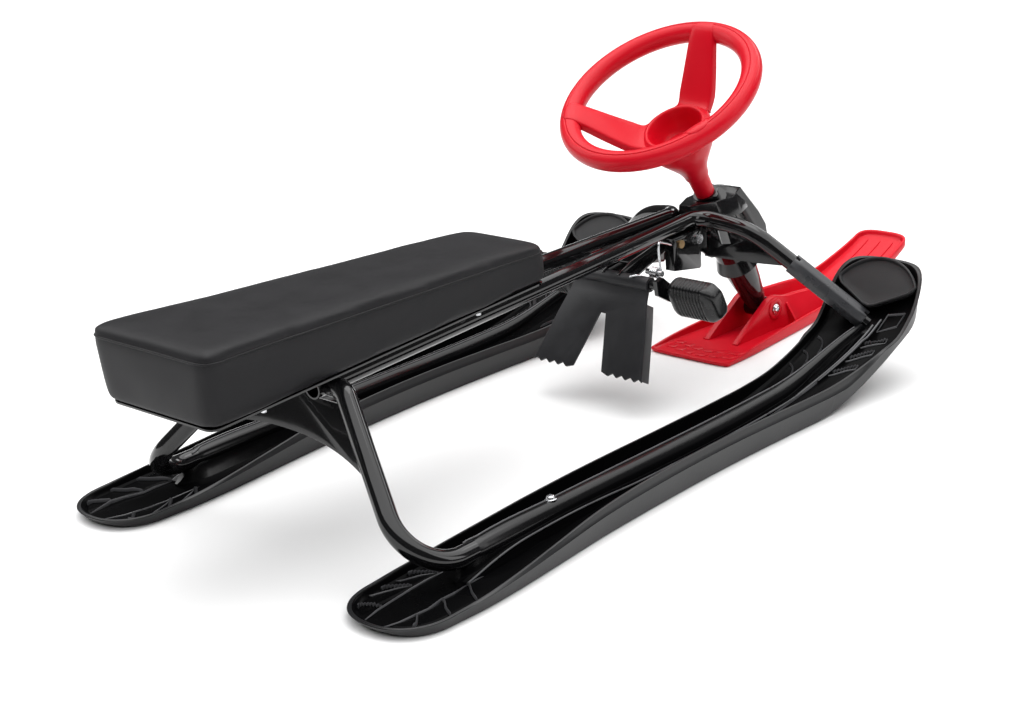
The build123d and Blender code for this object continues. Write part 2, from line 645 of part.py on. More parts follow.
with BuildPart() as front_ski:
    with BuildSketch(Plane.YZ.offset(-60)):
        with BuildLine():
            a = Line((FS_TAIL + Y0, 0), (520 + Y0, 0))
            b = Spline(a @ 1, (600 + Y0, 8), (680 + Y0, 31), (FS_TIP + Y0, 41), tangents=((1, 0), (1, 0.45)))
            c = Line(b @ 1, (FS_TIP - 3 + Y0, 50))
            d = Spline(c @ 1, (600 + Y0, 21), (520 + Y0, 16), (400 + Y0, 14), (FS_TAIL + Y0, 5), tangents=((-1, -0.45), (-1, -0.1)))
            Line(d @ 1, a @ 0)
        make_face()
    extrude(amount=120)
    with BuildSketch(Plane.XY.offset(-5)):
        with BuildLine():
            r = [(w, y + Y0) for (w, y) in FS_HALF]
            r[0] = (55, FS_TAIL + Y0)
            r.append((24, 703 + Y0))
            Polyline(*r, *[(-x, y) for (x, y) in reversed(r)], close=True)
        make_face()
    extrude(amount=150, mode=Mode.INTERSECT)
    add(fs_void.part, mode=Mode.SUBTRACT)
    # two cheeks that carry the bolt
    for sx in (-1, 1):
        with BuildSketch(Plane.YZ.offset(sx * 20.5 - 4)):
            with BuildLine():
                Polyline((350 + Y0, 2), (408 + Y0, 36), (418 + Y0, 42), (434 + Y0, 42), (446 + Y0, 34), (560 + Y0, 5), (560 + Y0, 2), close=True)
            make_face()
            with Locations((PIVOT_Y + Y0, PIVOT_Z)):
                Circle(5.05, mode=Mode.SUBTRACT)
        extrude(amount=8)
keep(front_ski, "front_ski")

with BuildPart() as ski_bolt:
    with BuildSketch(Plane.YZ.offset(-28)):
        with Locations((PIVOT_Y + Y0, PIVOT_Z)):
            Circle(5)
    extrude(amount=56)
    for sx in (-1, 1):
        with BuildSketch(Plane.YZ.offset(sx * 24.5)):
            with Locations((PIVOT_Y + Y0, PIVOT_Z)):
                Circle(8)
        extrude(amount=sx * 3.5)
keep(ski_bolt, "ski_bolt")

# ---------------------------------------------------------------- fixed bolts
for side, sx in (("right", 1), ("left", -1)):
    with BuildPart() as frame_bolt:
        with BuildSketch(Plane.XY.offset(LEG[3][2] + LEG_R)):
            with Locations((sx * SKI_X, -161 + Y0)):
                Circle(6)
        extrude(amount=2.5)
        with BuildSketch(Plane.XY.offset(LEG[3][2] + LEG_R + 2.5)):
            with Locations((sx * SKI_X, -161 + Y0)):
                RegularPolygon(5, 6)
        extrude(amount=3)
    keep(frame_bolt, f"frame_bolt_{side}")
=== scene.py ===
import bpy, bmesh, math, json
import numpy as np
from mathutils import Vector, Matrix


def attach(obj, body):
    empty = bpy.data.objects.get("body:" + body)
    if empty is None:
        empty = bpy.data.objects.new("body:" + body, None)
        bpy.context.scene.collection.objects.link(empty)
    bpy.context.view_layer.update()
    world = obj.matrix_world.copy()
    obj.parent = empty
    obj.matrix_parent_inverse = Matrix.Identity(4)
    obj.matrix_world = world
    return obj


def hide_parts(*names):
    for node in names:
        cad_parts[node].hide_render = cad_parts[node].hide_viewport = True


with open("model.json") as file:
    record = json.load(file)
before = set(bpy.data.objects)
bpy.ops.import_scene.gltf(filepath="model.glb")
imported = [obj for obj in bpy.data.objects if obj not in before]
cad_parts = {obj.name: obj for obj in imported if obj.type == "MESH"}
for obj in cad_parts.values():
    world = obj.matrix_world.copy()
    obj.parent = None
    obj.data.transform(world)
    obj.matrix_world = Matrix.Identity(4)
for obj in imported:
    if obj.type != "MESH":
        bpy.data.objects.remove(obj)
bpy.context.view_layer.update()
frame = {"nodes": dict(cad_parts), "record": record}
nodes = frame["nodes"]
scene = bpy.context.scene
scene.view_settings.view_transform = "Standard"

# ------------------------------------------------------------------ camera
AZ, EL, ROLL = map(math.radians, (43.982, 18.985, -4.07))
back = Vector((math.sin(AZ) * math.cos(EL), -math.cos(AZ) * math.cos(EL), math.sin(EL)))
cx = Vector((0, 0, 1)).cross(back).normalized()
cy = back.cross(cx)
rx = cx * math.cos(ROLL) + cy * math.sin(ROLL)
ry = cy * math.cos(ROLL) - cx * math.sin(ROLL)
cam_data = bpy.data.cameras.new("camera")
cam_data.sensor_width = 36.0
cam_data.sensor_fit = "HORIZONTAL"
cam_data.lens = 67.154
cam = bpy.data.objects.new("camera", cam_data)
scene.collection.objects.link(cam)
m = Matrix((rx, ry, back)).transposed().to_4x4()
m.translation = Vector((1.2797, -1.4559, 0.7196)) - rx * 0.0029
cam.matrix_world = m
scene.camera = cam

# ------------------------------------------------------------------ light and floor
def lamp(name, loc, aim, size, power, color=(1, 1, 1)):
    d = bpy.data.lights.new(name, "AREA")
    d.shape = "RECTANGLE"
    d.size, d.size_y = size
    d.energy = power
    d.color = color
    o = bpy.data.objects.new(name, d)
    scene.collection.objects.link(o)
    o.location = loc
    o.rotation_mode = "QUATERNION"
    o.rotation_quaternion = (Vector(aim) - Vector(loc)).to_track_quat("-Z", "Y")
    return o

lamp("softbox_top", (-0.2, 0.3, 2.6), (0, 0, 0.1), (2.6, 1.8), 30)
lamp("softbox_left", (-2.4, -0.9, 1.5), (0, 0, 0.15), (1.2, 1.6), 14)
lamp("softbox_back", (0.2, 2.9, 1.6), (0, 0, 0.2), (2.4, 0.5), 15)
lamp("softbox_right", (2.6, 0.9, 1.3), (0, 0, 0.1), (0.9, 1.4), 9)
sun = bpy.data.lights.new("overhead", "SUN")
sun.energy = 3.9
sun.angle = math.radians(105)
sun_o = bpy.data.objects.new("overhead", sun)
scene.collection.objects.link(sun_o)

world = bpy.data.worlds.new("studio")
scene.world = world
world.use_nodes = True
bg = world.node_tree.nodes["Background"]
bg.inputs["Color"].default_value = (1.0, 1.0, 1.0, 1)
bg.inputs["Strength"].default_value = 0.09
# the studio wall beyond the floor is as pale as the floor
wall = world.node_tree.nodes.new("ShaderNodeBackground")
wall.inputs["Color"].default_value = (1.0, 1.0, 1.0, 1)
seen = world.node_tree.nodes.new("ShaderNodeLightPath")
mix = world.node_tree.nodes.new("ShaderNodeMixShader")
world.node_tree.links.new(seen.outputs["Is Camera Ray"], mix.inputs[0])
world.node_tree.links.new(bg.outputs[0], mix.inputs[1])
world.node_tree.links.new(wall.outputs[0], mix.inputs[2])
world.node_tree.links.new(mix.outputs[0], world.node_tree.nodes["World Output"].inputs["Surface"])

def mat(name, color, rough, metallic=0.0, coat=0.0, coat_rough=0.1, spec=0.5, sheen=0.0, sheen_rough=0.4,
        noise=(40, 0.03), bump=(300, 0.02, 0.0004), tint=0.15, sub=0.0):
    """Procedural finish: colour and roughness varied by noise, plus a fine surface bump."""
    mt = bpy.data.materials.new(name)
    mt.use_nodes = True
    nt = mt.node_tree
    nd, ln = nt.nodes, nt.links
    b = nd["Principled BSDF"]
    b.inputs["Metallic"].default_value = metallic
    b.inputs["Specular IOR Level"].default_value = spec
    b.inputs["Coat Weight"].default_value = coat
    b.inputs["Coat Roughness"].default_value = coat_rough
    b.inputs["Sheen Weight"].default_value = sheen
    b.inputs["Sheen Roughness"].default_value = sheen_rough
    tc = nd.new("ShaderNodeTexCoord")
    n1 = nd.new("ShaderNodeTexNoise")
    n1.inputs["Scale"].default_value = noise[0]
    n1.inputs["Detail"].default_value = 5
    ln.new(tc.outputs["Object"], n1.inputs["Vector"])
    cr = nd.new("ShaderNodeValToRGB")
    c0 = [max(0, c * (1 - tint)) for c in color[:3]] + [1]
    c1 = [min(1, c * (1 + tint)) for c in color[:3]] + [1]
    cr.color_ramp.elements[0].position = 0.3
    cr.color_ramp.elements[0].color = c0
    cr.color_ramp.elements[1].position = 0.7
    cr.color_ramp.elements[1].color = c1
    ln.new(n1.outputs["Fac"], cr.inputs["Fac"])
    ln.new(cr.outputs["Color"], b.inputs["Base Color"])
    mr = nd.new("ShaderNodeMapRange")
    mr.inputs["From Min"].default_value = 0.3
    mr.inputs["From Max"].default_value = 0.7
    mr.inputs["To Min"].default_value = max(0, rough - noise[1])
    mr.inputs["To Max"].default_value = min(1, rough + noise[1])
    ln.new(n1.outputs["Fac"], mr.inputs["Value"])
    ln.new(mr.outputs["Result"], b.inputs["Roughness"])
    n2 = nd.new("ShaderNodeTexNoise")
    n2.inputs["Scale"].default_value = bump[0]
    n2.inputs["Detail"].default_value = 3
    ln.new(tc.outputs["Object"], n2.inputs["Vector"])
    bp = nd.new("ShaderNodeBump")
    bp.inputs["Strength"].default_value = bump[1]
    bp.inputs["Distance"].default_value = bump[2]
    ln.new(n2.outputs["Fac"], bp.inputs["Height"])
    ln.new(bp.outputs["Normal"], b.inputs["Normal"])
    return mt

M = {
    "ski": mat("black_ski_plastic", (0.011, 0.011, 0.012), 0.34, spec=0.42, noise=(14, 0.04), bump=(420, 0.16, 0.0003)),
    # tray floor and inner walls: a darker, less reflective copy of the ski plastic, painted shade for the dark the tray
    # interior gets from the light
    "ski_shaded_in": mat("black_ski_floor_painted_shade", (0.0017, 0.0017, 0.0019), 0.25, spec=0.025, noise=(14, 0.05), bump=(420, 0.12, 0.0003)),
    "ridge": mat("black_ski_ridge", (0.0030, 0.0030, 0.0034), 0.20, spec=0.34, noise=(14, 0.04), bump=(300, 0.08, 0.0003)),
    # light grey crest plastic for the ski's ribs and beads: a painted highlight that makes them read as bright lines
    "crest": mat("crest_painted_highlight", (0.060, 0.060, 0.064), 0.30, spec=0.5, noise=(40, 0.05), bump=(500, 0.1, 0.0003)),
    "matte": mat("matte_pad", (0.013, 0.013, 0.014), 0.55, spec=0.35, noise=(60, 0.04), bump=(900, 0.3, 0.0003)),
    "cover": mat("cover_plastic", (0.006, 0.006, 0.0068), 0.16, spec=0.4, noise=(25, 0.03), bump=(500, 0.05, 0.0003)),
    "paint": mat("black_gloss_paint", (0.004, 0.004, 0.0045), 0.12, coat=0.35, coat_rough=0.05, spec=0.4, noise=(18, 0.03), bump=(260, 0.04, 0.0004)),
    "grey": mat("grey_paint", (0.042, 0.043, 0.047), 0.30, spec=0.5, noise=(35, 0.06), bump=(500, 0.15, 0.0003)),
    "vinyl": mat("seat_vinyl", (0.0095, 0.0092, 0.0105), 0.5, spec=0.22, noise=(30, 0.04), bump=(1400, 0.35, 0.0004)),
    "red": mat("red_plastic", (0.58, 0.003, 0.014), 0.34, spec=0.22, noise=(12, 0.04), bump=(500, 0.08, 0.0003), tint=0.05),
    "steel": mat("claw_steel", (0.0165, 0.0165, 0.0185), 0.42, spec=0.35, noise=(50, 0.05), bump=(700, 0.15, 0.0003)),
    "brass": mat("brass", (0.62, 0.42, 0.22), 0.28, metallic=1.0, noise=(60, 0.05), bump=(400, 0.1, 0.0002)),
    "zinc": mat("bright_zinc", (0.72, 0.73, 0.75), 0.22, metallic=1.0, noise=(60, 0.05), bump=(400, 0.1, 0.0002)),
    "rubber": mat("rubber_grip", (0.0045, 0.0045, 0.005), 0.27, spec=0.42, noise=(60, 0.05), bump=(700, 0.25, 0.0003)),
}
floor_mat = mat("floor", (0.86, 0.86, 0.86), 0.6, noise=(2, 0.05), bump=(30, 0.02, 0.0005), tint=0.01)
bpy.ops.mesh.primitive_plane_add(size=60, location=(0, 0, 0))
floor = bpy.context.object
floor.name = "floor"
floor.data.materials.append(floor_mat)

# ------------------------------------------------------------------ mesh helpers (millimetres from the rear skis' middle)
def P(x, y, z):
    return ((x) * 0.001, (y - 136.0) * 0.001, z * 0.001)

class Build:
    """Collects vertices and faces in millimetres."""
    def __init__(self):
        self.v, self.f = [], []

    def add(self, verts, faces):
        n = len(self.v)
        self.v += [tuple(map(float, p)) for p in verts]
        self.f += [tuple(i + n for i in q) for q in faces]

    def rows(self, rows, close=False, wrap=False, cap0=False, cap1=False):
        """Quads between rows of points. close joins the ends of each row, wrap joins the last row to the first."""
        m = len(rows[0])
        verts = [p for r in rows for p in r]
        faces = []
        nr = len(rows)
        for i in range(nr if wrap else nr - 1):
            a, b = i * m, ((i + 1) % nr) * m
            for j in range(m if close else m - 1):
                k = (j + 1) % m
                faces.append((a + j, a + k, b + k, b + j))
        if cap0:
            faces.append(tuple(range(m)))
        if cap1:
            faces.append(tuple((nr - 1) * m + j for j in reversed(range(m))))
        self.add(verts, faces)

    def tube(self, path, r, n=16, flat=1.0, up=(0, 0, 1), caps=True):
        """Round (or flattened) bar along a path; r is a number or one radius for each point."""
        pts = [np.array(p, float) for p in path]
        rr = r if hasattr(r, "__len__") else [r] * len(pts)
        rows = []
        side = None
        for i, p in enumerate(pts):
            t = pts[min(i + 1, len(pts) - 1)] - pts[max(i - 1, 0)]
            t = t / np.linalg.norm(t)
            if side is None:
                side = np.cross(t, np.array(up, float))
                if np.linalg.norm(side) < 1e-6:
                    side = np.cross(t, np.array((1.0, 0, 0)))
            else:
                side = side - t * side.dot(t)
            side = side / np.linalg.norm(side)
            w = np.cross(side, t)
            rows.append([p + side * rr[i] * math.cos(a) + w * rr[i] * flat * math.sin(a) for a in [2 * math.pi * k / n for k in range(n)]])
        self.rows(rows, close=True, cap0=caps, cap1=caps)

    def bead(self, path, w, h):
        """Half-round rib lying on a floor: w wide, h high."""
        pts = [np.array(p, float) for p in path]
        rows = []
        for i, p in enumerate(pts):
            t = pts[min(i + 1, len(pts) - 1)] - pts[max(i - 1, 0)]
            s = np.array((t[1], -t[0], 0.0))
            s = s / max(np.linalg.norm(s), 1e-9)
            k = 0.35 if i in (0, len(pts) - 1) else 1.0
            prof = [(-1.0, -0.8), (-0.85, 0.15), (-0.5, 0.75), (0, 1.0), (0.5, 0.75), (0.85, 0.15), (1.0, -0.8)]
            rows.append([p + s * (w / 2 * a * k) + np.array((0, 0, h * b * (k if b > 0 else 1))) for a, b in prof])
        self.rows(rows, close=True, cap0=True, cap1=True)

def finish_mesh(name, b, key, body, stands_for=(), sharp=35, weld=1e-6, inside=None):
    me = bpy.data.meshes.new(name)
    me.from_pydata([P(*p) for p in b.v], [], b.f)
    bm = bmesh.new()
    bm.from_mesh(me)
    bmesh.ops.remove_doubles(bm, verts=bm.verts, dist=weld)
    loose = [v for v in bm.verts if not v.link_faces]
    bmesh.ops.delete(bm, geom=loose, context="VERTS")
    bmesh.ops.recalc_face_normals(bm, faces=bm.faces)
    bm.to_mesh(me)
    bm.free()
    for p in me.polygons:
        p.use_smooth = True
    me.set_sharp_from_angle(angle=math.radians(sharp))
    me.materials.append(M[key])
    # a second material on the faces the mask picks; the skis use it for the painted shade inside the tray
    if inside:
        me.materials.append(M[inside[0]])
        for p in me.polygons:
            c = p.center
            if p.normal.z > -0.2 and inside[1](c.x * 1000.0, c.y * 1000.0 + 136.0, c.z * 1000.0):
                p.material_index = 1
    o = bpy.data.objects.new(name, me)
    scene.collection.objects.link(o)
    if stands_for:
        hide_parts(*stands_for)
    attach(o, body)
    return o

def smooth(xs, ys, x):
    """Catmull-Rom curve through (xs, ys) at x."""
    xs, ys = np.array(xs, float), np.array(ys, float)
    d = np.gradient(ys, xs)
    x = np.clip(x, xs[0], xs[-1])
    i = int(np.clip(np.searchsorted(xs, x) - 1, 0, len(xs) - 2))
    h = xs[i + 1] - xs[i]
    t = (x - xs[i]) / h
    return float((2 * t**3 - 3 * t**2 + 1) * ys[i] + (t**3 - 2 * t**2 + t) * h * d[i] + (3 * t**2 - 2 * t**3) * ys[i + 1] + (t**3 - t**2) * h * d[i + 1])

def through(points, n=8):
    """Smooth 3-D path through points, n steps between neighbours."""
    pts = np.array(points, float)
    s = np.arange(len(pts), dtype=float)
    out = []
    for k in range((len(pts) - 1) * n + 1):
        u = k / n
        out.append([smooth(s, pts[:, c], u) for c in range(3)])
    return out

# ------------------------------------------------------------------ rear skis
SKI_X = 194.0
BOT = [(-395, 5.0), (-372, 1.4), (-340, 0.0), (-300, 0), (0, 0), (160, 0), (200, 0.0), (232, 2.6), (260, 9.0), (286, 17.5), (310, 27.5), (332, 38.0), (354, 49.0),
       (374, 61.0), (389, 77.0), (398.5, 94.0), (405, 113.5)]
RIM = [(-395, 10.0), (-340, 11.0), (-295, 14.0), (-250, 18.0), (-200, 23.0), (-150, 28.0), (-100, 31.0), (-50, 32.5), (50, 33.0),
       (130, 32.0), (190, 31.5), (230, 33.0), (270, 39.0), (310, 48.5), (342, 59.5), (357, 73.0), (398, 117.0), (405, 118.6)]
FLOOR = [(-395, 7.2), (-372, 5.2), (-340, 4.4), (-300, 4.8), (-250, 6.5), (-200, 9.0), (-150, 12.0), (-100, 14.0), (100, 14.5), (170, 16.5),
         (210, 21.0), (250, 27.0), (290, 35.0), (320, 43.0), (344, 52.0), (358, 61.0), (370, 70.5), (380, 84.0), (388, 101.0), (397, 113.0), (405, 116.0)]
HALF = [(52, -340), (53.5, -305), (52, -262), (47.5, -205), (42, -140), (38.5, -60), (36.8, 20), (37.5, 90), (40, 160), (43.6, 220),
        (48.5, 280), (53, 325), (56, 360)]

def curve(tab, y):
    return smooth([p[0] for p in tab], [p[1] for p in tab], y)

def bottom(tab, y):
    """Underside: never below the floor."""
    return max(0.0, curve(tab, y))

def plan(inset, tail, nose, half, pw0, pw1, step=6.0, n=16):
    """Half outline seen from above, from the tail point to the nose point: (half width, y)."""
    out = []
    w0, y0 = half[0][0] - inset, half[0][1]
    for i in range(n):
        t = math.radians(90 - 90 * i / n)
        out.append((w0 * max(math.cos(t), 0) ** pw0, y0 - (y0 - tail) * math.sin(t) ** pw0))
    hy, hw = [p[1] for p in half], [p[0] for p in half]
    m = int((hy[-1] - hy[0]) / step)
    for i in range(m + 1):
        y = hy[0] + (hy[-1] - hy[0]) * i / m
        out.append((smooth(hy, hw, y) - inset, y))
    w1, y1 = half[-1][0] - inset, half[-1][1]
    for i in range(1, n + 1):
        t = math.radians(90 * i / n)
        out.append((w1 * max(math.cos(t), 0) ** pw1, y1 + (nose - y1) * math.sin(t) ** pw1))
    out[0], out[-1] = (0.0, tail), (0.0, nose)
    return out

def tray(b, cx, sx, layers, half, tail, nose, pw0, pw1, height, cols=40, step=6.0, tuck=0.0):
    """Shell of a ski: rings from the underside over the rim to the tray floor, then the floor as a height field."""
    rings = []
    for inset, zf in layers:
        pl = plan(inset, tail + inset, nose - inset, half, pw0, pw1, step)
        if tuck and len(rings) < 4:
            def slim(w, y):
                k = max(0.0, min(1.0, (y - 190) / 130))
                return max(0.0, w - tuck * k * k * (3 - 2 * k) * (1 - 0.28 * len(rings)) * min(1, w / 20))
            pl = [(slim(w, y), y) for w, y in pl]
        ring = [(cx + sx * w, y, zf(w, y)) for w, y in pl] + [(cx - sx * w, y, zf(w, y)) for w, y in reversed(pl[1:-1])]
        rings.append(ring)
    b.rows(rings, close=True)
    for ring, side in ((rings[0], 0), (rings[-1], 1)):
        n = (len(ring) + 2) // 2
        rows = []
        for i in range(1, n - 1):
            p, q = np.array(ring[i]), np.array(ring[len(ring) - i])
            c = cols if side else 2
            row = []
            for k in range(c + 1):
                t = k / c
                pt = p * (1 - t) + q * t
                if side:
                    e = min(t, 1 - t) * np.linalg.norm(p - q)
                    fade = min(1.0, e / 4.0)
                    pt[2] = pt[2] + fade * (height((pt[0] - cx) * sx, pt[1]) - pt[2])
                row.append(tuple(pt))
            rows.append(row)
        b.rows(rows)
        for tip, row in ((ring[0], rows[0]), (ring[n - 1], rows[-1])):
            m = len(row)
            b.add([tip] + row, [(0, k + 1, k + 2) for k in range(m - 1)])

def ski_floor(x, y):
    """Floor height of the tray at x (outward positive) and y: a raised outer shelf and a ridge that carries the tube."""
    z = curve(FLOOR, y)
    edge = 13 + 4 * math.sin((y + 395) / 34.0) * max(0, min(1, (-285 - y) / 20))
    if y < 330:
        s = max(0, min(1, (x - edge) / 2.0))
        z += 2.0 * s * s * (3 - 2 * s)
    if y < -262:
        s = max(0, min(1, (-24 - x) / 2.0))
        z += 1.6 * s * s * (3 - 2 * s) * max(0, min(1, (-262 - y) / 12))
    return z

def zz(p0, p1, amp, n, z):
    """Serrated line between two points on the floor."""
    a, c = np.array(p0, float), np.array(p1, float)
    d = (c - a) / np.linalg.norm(c - a)
    s = np.array((d[1], -d[0]))
    out = []
    for i in range(2 * n + 1):
        t = i / (2 * n)
        q = a + (c - a) * t + s * amp * (1 if i % 2 else -1)
        out.append((q[0], q[1], z(q[0], q[1])))
    return out

for side, sx in (("right", 1), ("left", -1)):
    cx = sx * SKI_X
    b = Build()
    def led(y):
        return curve(RIM, y) - 0.42 * max(0, curve(RIM, y) - 11) * (1 if y < 250 else max(0, 1 - (y - 250) / 60))
    def lip(y):
        return 0.30 * max(0, curve(RIM, y) - 11) * (1 if y < 230 else max(0, 1 - (y - 230) / 60))
    layers = [(7, lambda w, y: bottom(BOT, y)), (4, lambda w, y: bottom(BOT, y) + 0.5), (2.6, lambda w, y: bottom(BOT, y) + 2.2),
              (0.5, lambda w, y: led(y) - 1.2), (0.0, lambda w, y: led(y) - 0.5), (0.35, lambda w, y: led(y))]
    def zr(y):
        return curve(RIM, y)
    L = layers + [(1.2, lambda w, y: led(y) + 0.45 * (zr(y) - led(y))), (2.0, lambda w, y: zr(y) - 0.35), (2.6, lambda w, y: zr(y)), (4.0, lambda w, y: zr(y)),
                  (4.8, lambda w, y: zr(y) - 0.6), (5.6, lambda w, y: min(zr(y) - 1.5, curve(FLOOR, y) + 6)), (6.6, lambda w, y: min(zr(y) - 2.0, curve(FLOOR, y) + 2.0)),
                  (9.0, lambda w, y: min(zr(y) - 2.4, curve(FLOOR, y) + 0.3))]
    # the lip leans in above the ledge
    tray(b, cx, sx, L, HALF, -395, 405, 0.88, 0.75, ski_floor, cols=44, tuck=7.0)
    fz = lambda x, y: ski_floor((x - cx) * sx, y)
    inner = plan(8.5, -395 + 8.5, 405 - 8.5, HALF, 0.88, 0.75)
    iy, iw = [p[1] for p in inner], [p[0] for p in inner]
    def G(x, y, dz=0.0):
        y = min(max(y, iy[0] + 1), iy[-1] - 1)
        w = float(np.interp(y, iy, iw))
        x = min(max(x, -w), w)
        return (cx + sx * x, y, ski_floor(x, y) + dz)
    t = Build()
    # tread at the tail: three serrated leaves inside, three curved ribs outside
    for (x0, y0), (x1, y1) in (((-49, -302), (-25, -285)), ((-48, -336), (-26, -316)), ((-40, -373), (-21, -357))):
        pts = zz((x0, y0), (x1, y1), 1.1, 9, lambda x, y: ski_floor(x, y) + 0.4)
        t.bead([G(p[0], p[1], 0.4) for p in pts], 1.8, 2.0)
        if y0 > -360:
            t.bead([G(*q, 0.3) for q in ((x1, y1), ((x0 * 0.35 + x1 * 0.65) + 1, y1 - 12), ((x0 * 0.7 + x1 * 0.3) + 1, y0 - 14), (x0 + 2, y0 - 15))], 1.6, 0.9)
    t.bead([G(*q, 0.3) for q in ((-24, -280), (-24.5, -300), (-24, -320), (-21, -345), (-18, -365), (-16, -387))], 2.2, 1.1)
    for q in (((19, -354), (25, -360), (31, -367), (39, -373)), ((14, -319), (22, -324), (30, -331), (43, -338)), ((11, -285), (20, -291), (29, -298), (43, -306))):
        t.bead(through([G(*p, 0.4) for p in q], 5), 2.0, 3.0)
    t.bead([G(*q, 0.2) for q in ((20, -386), (15.5, -372), (18.5, -356), (18, -340), (13, -320), (14, -305), (11.5, -286))], 2.0, 2.0)
    t.bead([G(12.2, y, 0.9) for y in range(-284, 321, 20)], 1.9, 1.2)
    # tread at the front: curved ribs inside, serrated leaves and the outline of a panel outside
    for y0 in (240, 268, 296):
        t.bead(through([G(*q, 0.5) for q in ((-40, y0 + 26), (-36, y0 + 25), (-30, y0 + 20), (-24, y0 + 9), (-20, y0 - 6))], 4), 1.8, 2.4)
    for (x0, y0), (x1, y1) in (((14, 262), (35, 286)), ((14.5, 293), (36, 316)), ((15, 321), (37, 340))):
        pts = zz((x0, y0), (x1, y1), 1.3, 9, lambda x, y: 0)
        t.bead([G(p[0], p[1], 0.5) for p in pts], 2.2, 1.8)
        t.bead([G(*q, 0.4) for q in ((x1, y1), (x1 + 1, y1 - 8), (x1 - 6, y1 - 14), ((x0 + x1) / 2 - 3, y0 - 1), (x0 + 1, y0 - 7))], 1.8, 1.2)
    t.bead([G(*q, 0.4) for q in ((19, 346), (38, 356), (40, 370), (21, 366), (19, 346))], 1.8, 1.4)
    band = plan(3.7, -395 + 3.7, 405 - 3.7, HALF, 0.88, 0.75)
    by, bw = [p[1] for p in band], [p[0] for p in band]
    def in_tray(x, y, z):
        return by[0] < y < by[-1] and abs(x - cx) < float(np.interp(y, by, bw)) and z > bottom(BOT, y) + 1.4
    # faces inside the tray take the darker copy of the ski plastic: painted shade
    finish_mesh(f"ski_shell_{side}", b, "ski", "frame", [f"ski_{side}"], sharp=38, inside=("ski_shaded_in", in_tray))
    # the tread beads are lighter grey than the ski: painted highlight on their crests
    finish_mesh(f"ski_tread_{side}", t, "crest", "frame", sharp=50)

    # ridge over the tube, rising and thinning under the front leg
    r = Build()
    RZ = [(-272, 25.4), (-262, 25.8), (-250, 26.0), (-150, 26.0), (160, 26.0), (190, 27.5), (220, 31.5), (250, 38.0), (280, 45.0), (310, 51.0), (338, 55.0), (346, 55.6)]
    RR = [(-272, 8.2), (-266, 9.2), (-258, 10.7), (-250, 11.2), (-150, 11.2), (170, 10.6), (205, 9.6), (240, 7.6), (280, 5.8), (320, 5.0), (346, 4.4)]
    ys = list(range(-272, -244, 3)) + list(range(-240, 181, 20)) + list(range(190, 347, 9)) + [346]
    r.tube([(cx, y, curve(RZ, y)) for y in ys], [curve(RR, y) for y in ys], n=28)
    # moulded web under the ridge, down to the floor
    web = []
    for y in [-290, -286, -282, -277] + ys:
        z, rr = curve(RZ, y), max(curve(RR, y), 8.2)
        fl = ski_floor(0, y) - 1.5
        k = max(0.0, min(1.0, (y + 292) / 24))
        z = fl + 3.2 + (z - fl - 3.2) * k * k * (3 - 2 * k)
        rr = rr * (0.12 + 0.88 * k)
        web.append([(cx - (rr + 4 * k), y, fl), (cx - (rr + 1.6 * k), y, fl + 2.6), (cx - rr * 0.96, y, max(z - rr * 0.2, fl + 2.7)), (cx + rr * 0.96, y, max(z - rr * 0.2, fl + 2.7)), (cx + (rr + 1.6 * k), y, fl + 2.6), (cx + (rr + 4 * k), y, fl)])
    r.rows(web, close=True, cap0=True, cap1=True)
    # fine bead along the ridge's inner shoulder, and the rib that climbs beside it to the pad; these take the light
    # grey crest material, a painted highlight
    e = Build()
    e.tube([(cx - sx * 6.2, -270, 34.0), (cx - sx * 5.6, -265, 35.0)] + [(cx - sx * (curve(RR, y) * 0.24), y, curve(RZ, y) + curve(RR, y) * 0.97) for y in ys if -260 < y < 340], 0.95, n=8)
    # shoulder line along the ridge's outer flank; the line itself is in the crest grey, a painted highlight
    flank = [(11.5, -286, 6.2), (12.6, -270, 11.0), (13.2, -255, 15.2), (13.4, -223, 20.6), (13.2, -190, 22.2), (13.0, -150, 22.8), (12.8, -100, 21.6), (12.8, -58, 19.6),
             (12.8, 0, 19.0), (12.8, 90, 19.0), (12.4, 160, 20.4), (11.6, 205, 22.6), (11.0, 236, 26.2)]
    fy = [q[1] for q in flank]
    e.tube([(cx + sx * smooth(fy, [q[0] for q in flank], y), y, smooth(fy, [q[2] for q in flank], y)) for y in list(range(-286, -200, 6)) + list(range(-200, 237, 12))], 1.0, n=10)
    r.rows([[(cx + sx * (smooth(fy, [q[0] for q in flank], y) - a), y, c if c is not None else smooth(fy, [q[2] for q in flank], y) + 0.5) for a, c in ((6, None), (0.2, None), (-0.4, ski_floor(13, y) - 1.5), (6, ski_floor(0, y) - 1.5))] for y in list(range(-286, -200, 6)) + list(range(-200, 237, 12))], close=True, cap0=True, cap1=True)
    for off, top in ((11.0, 352), (15.5, 360)):
        path = [(cx + sx * (off + max(0, (y - 230)) * 0.02), y, ski_floor(off, y) + float(np.interp(y, [150, 230, 300, 345, 362], [0.2, 2.6, 4.5, 6.0, 3.0]))) for y in range(150 if off < 15 else 240, top, 9)]
        e.tube(path, [0.7 + 0.6 * min(1, k / 8) for k in range(len(path))], n=10)
        r.rows([[(p[0] - 0.9, p[1], p[2]), (p[0] + 0.9, p[1], p[2]), (p[0] + 1.4, p[1], ski_floor(off, p[1]) - 1), (p[0] - 1.4, p[1], ski_floor(off, p[1]) - 1)] for p in path], close=True, cap0=True, cap1=True)
    # beads and ribs in the lighter crest grey: painted highlight lines
    finish_mesh(f"ski_rib_{side}", e, "crest", "frame", sharp=50)
    finish_mesh(f"ski_ridge_{side}", r, "ridge", "frame", sharp=50)

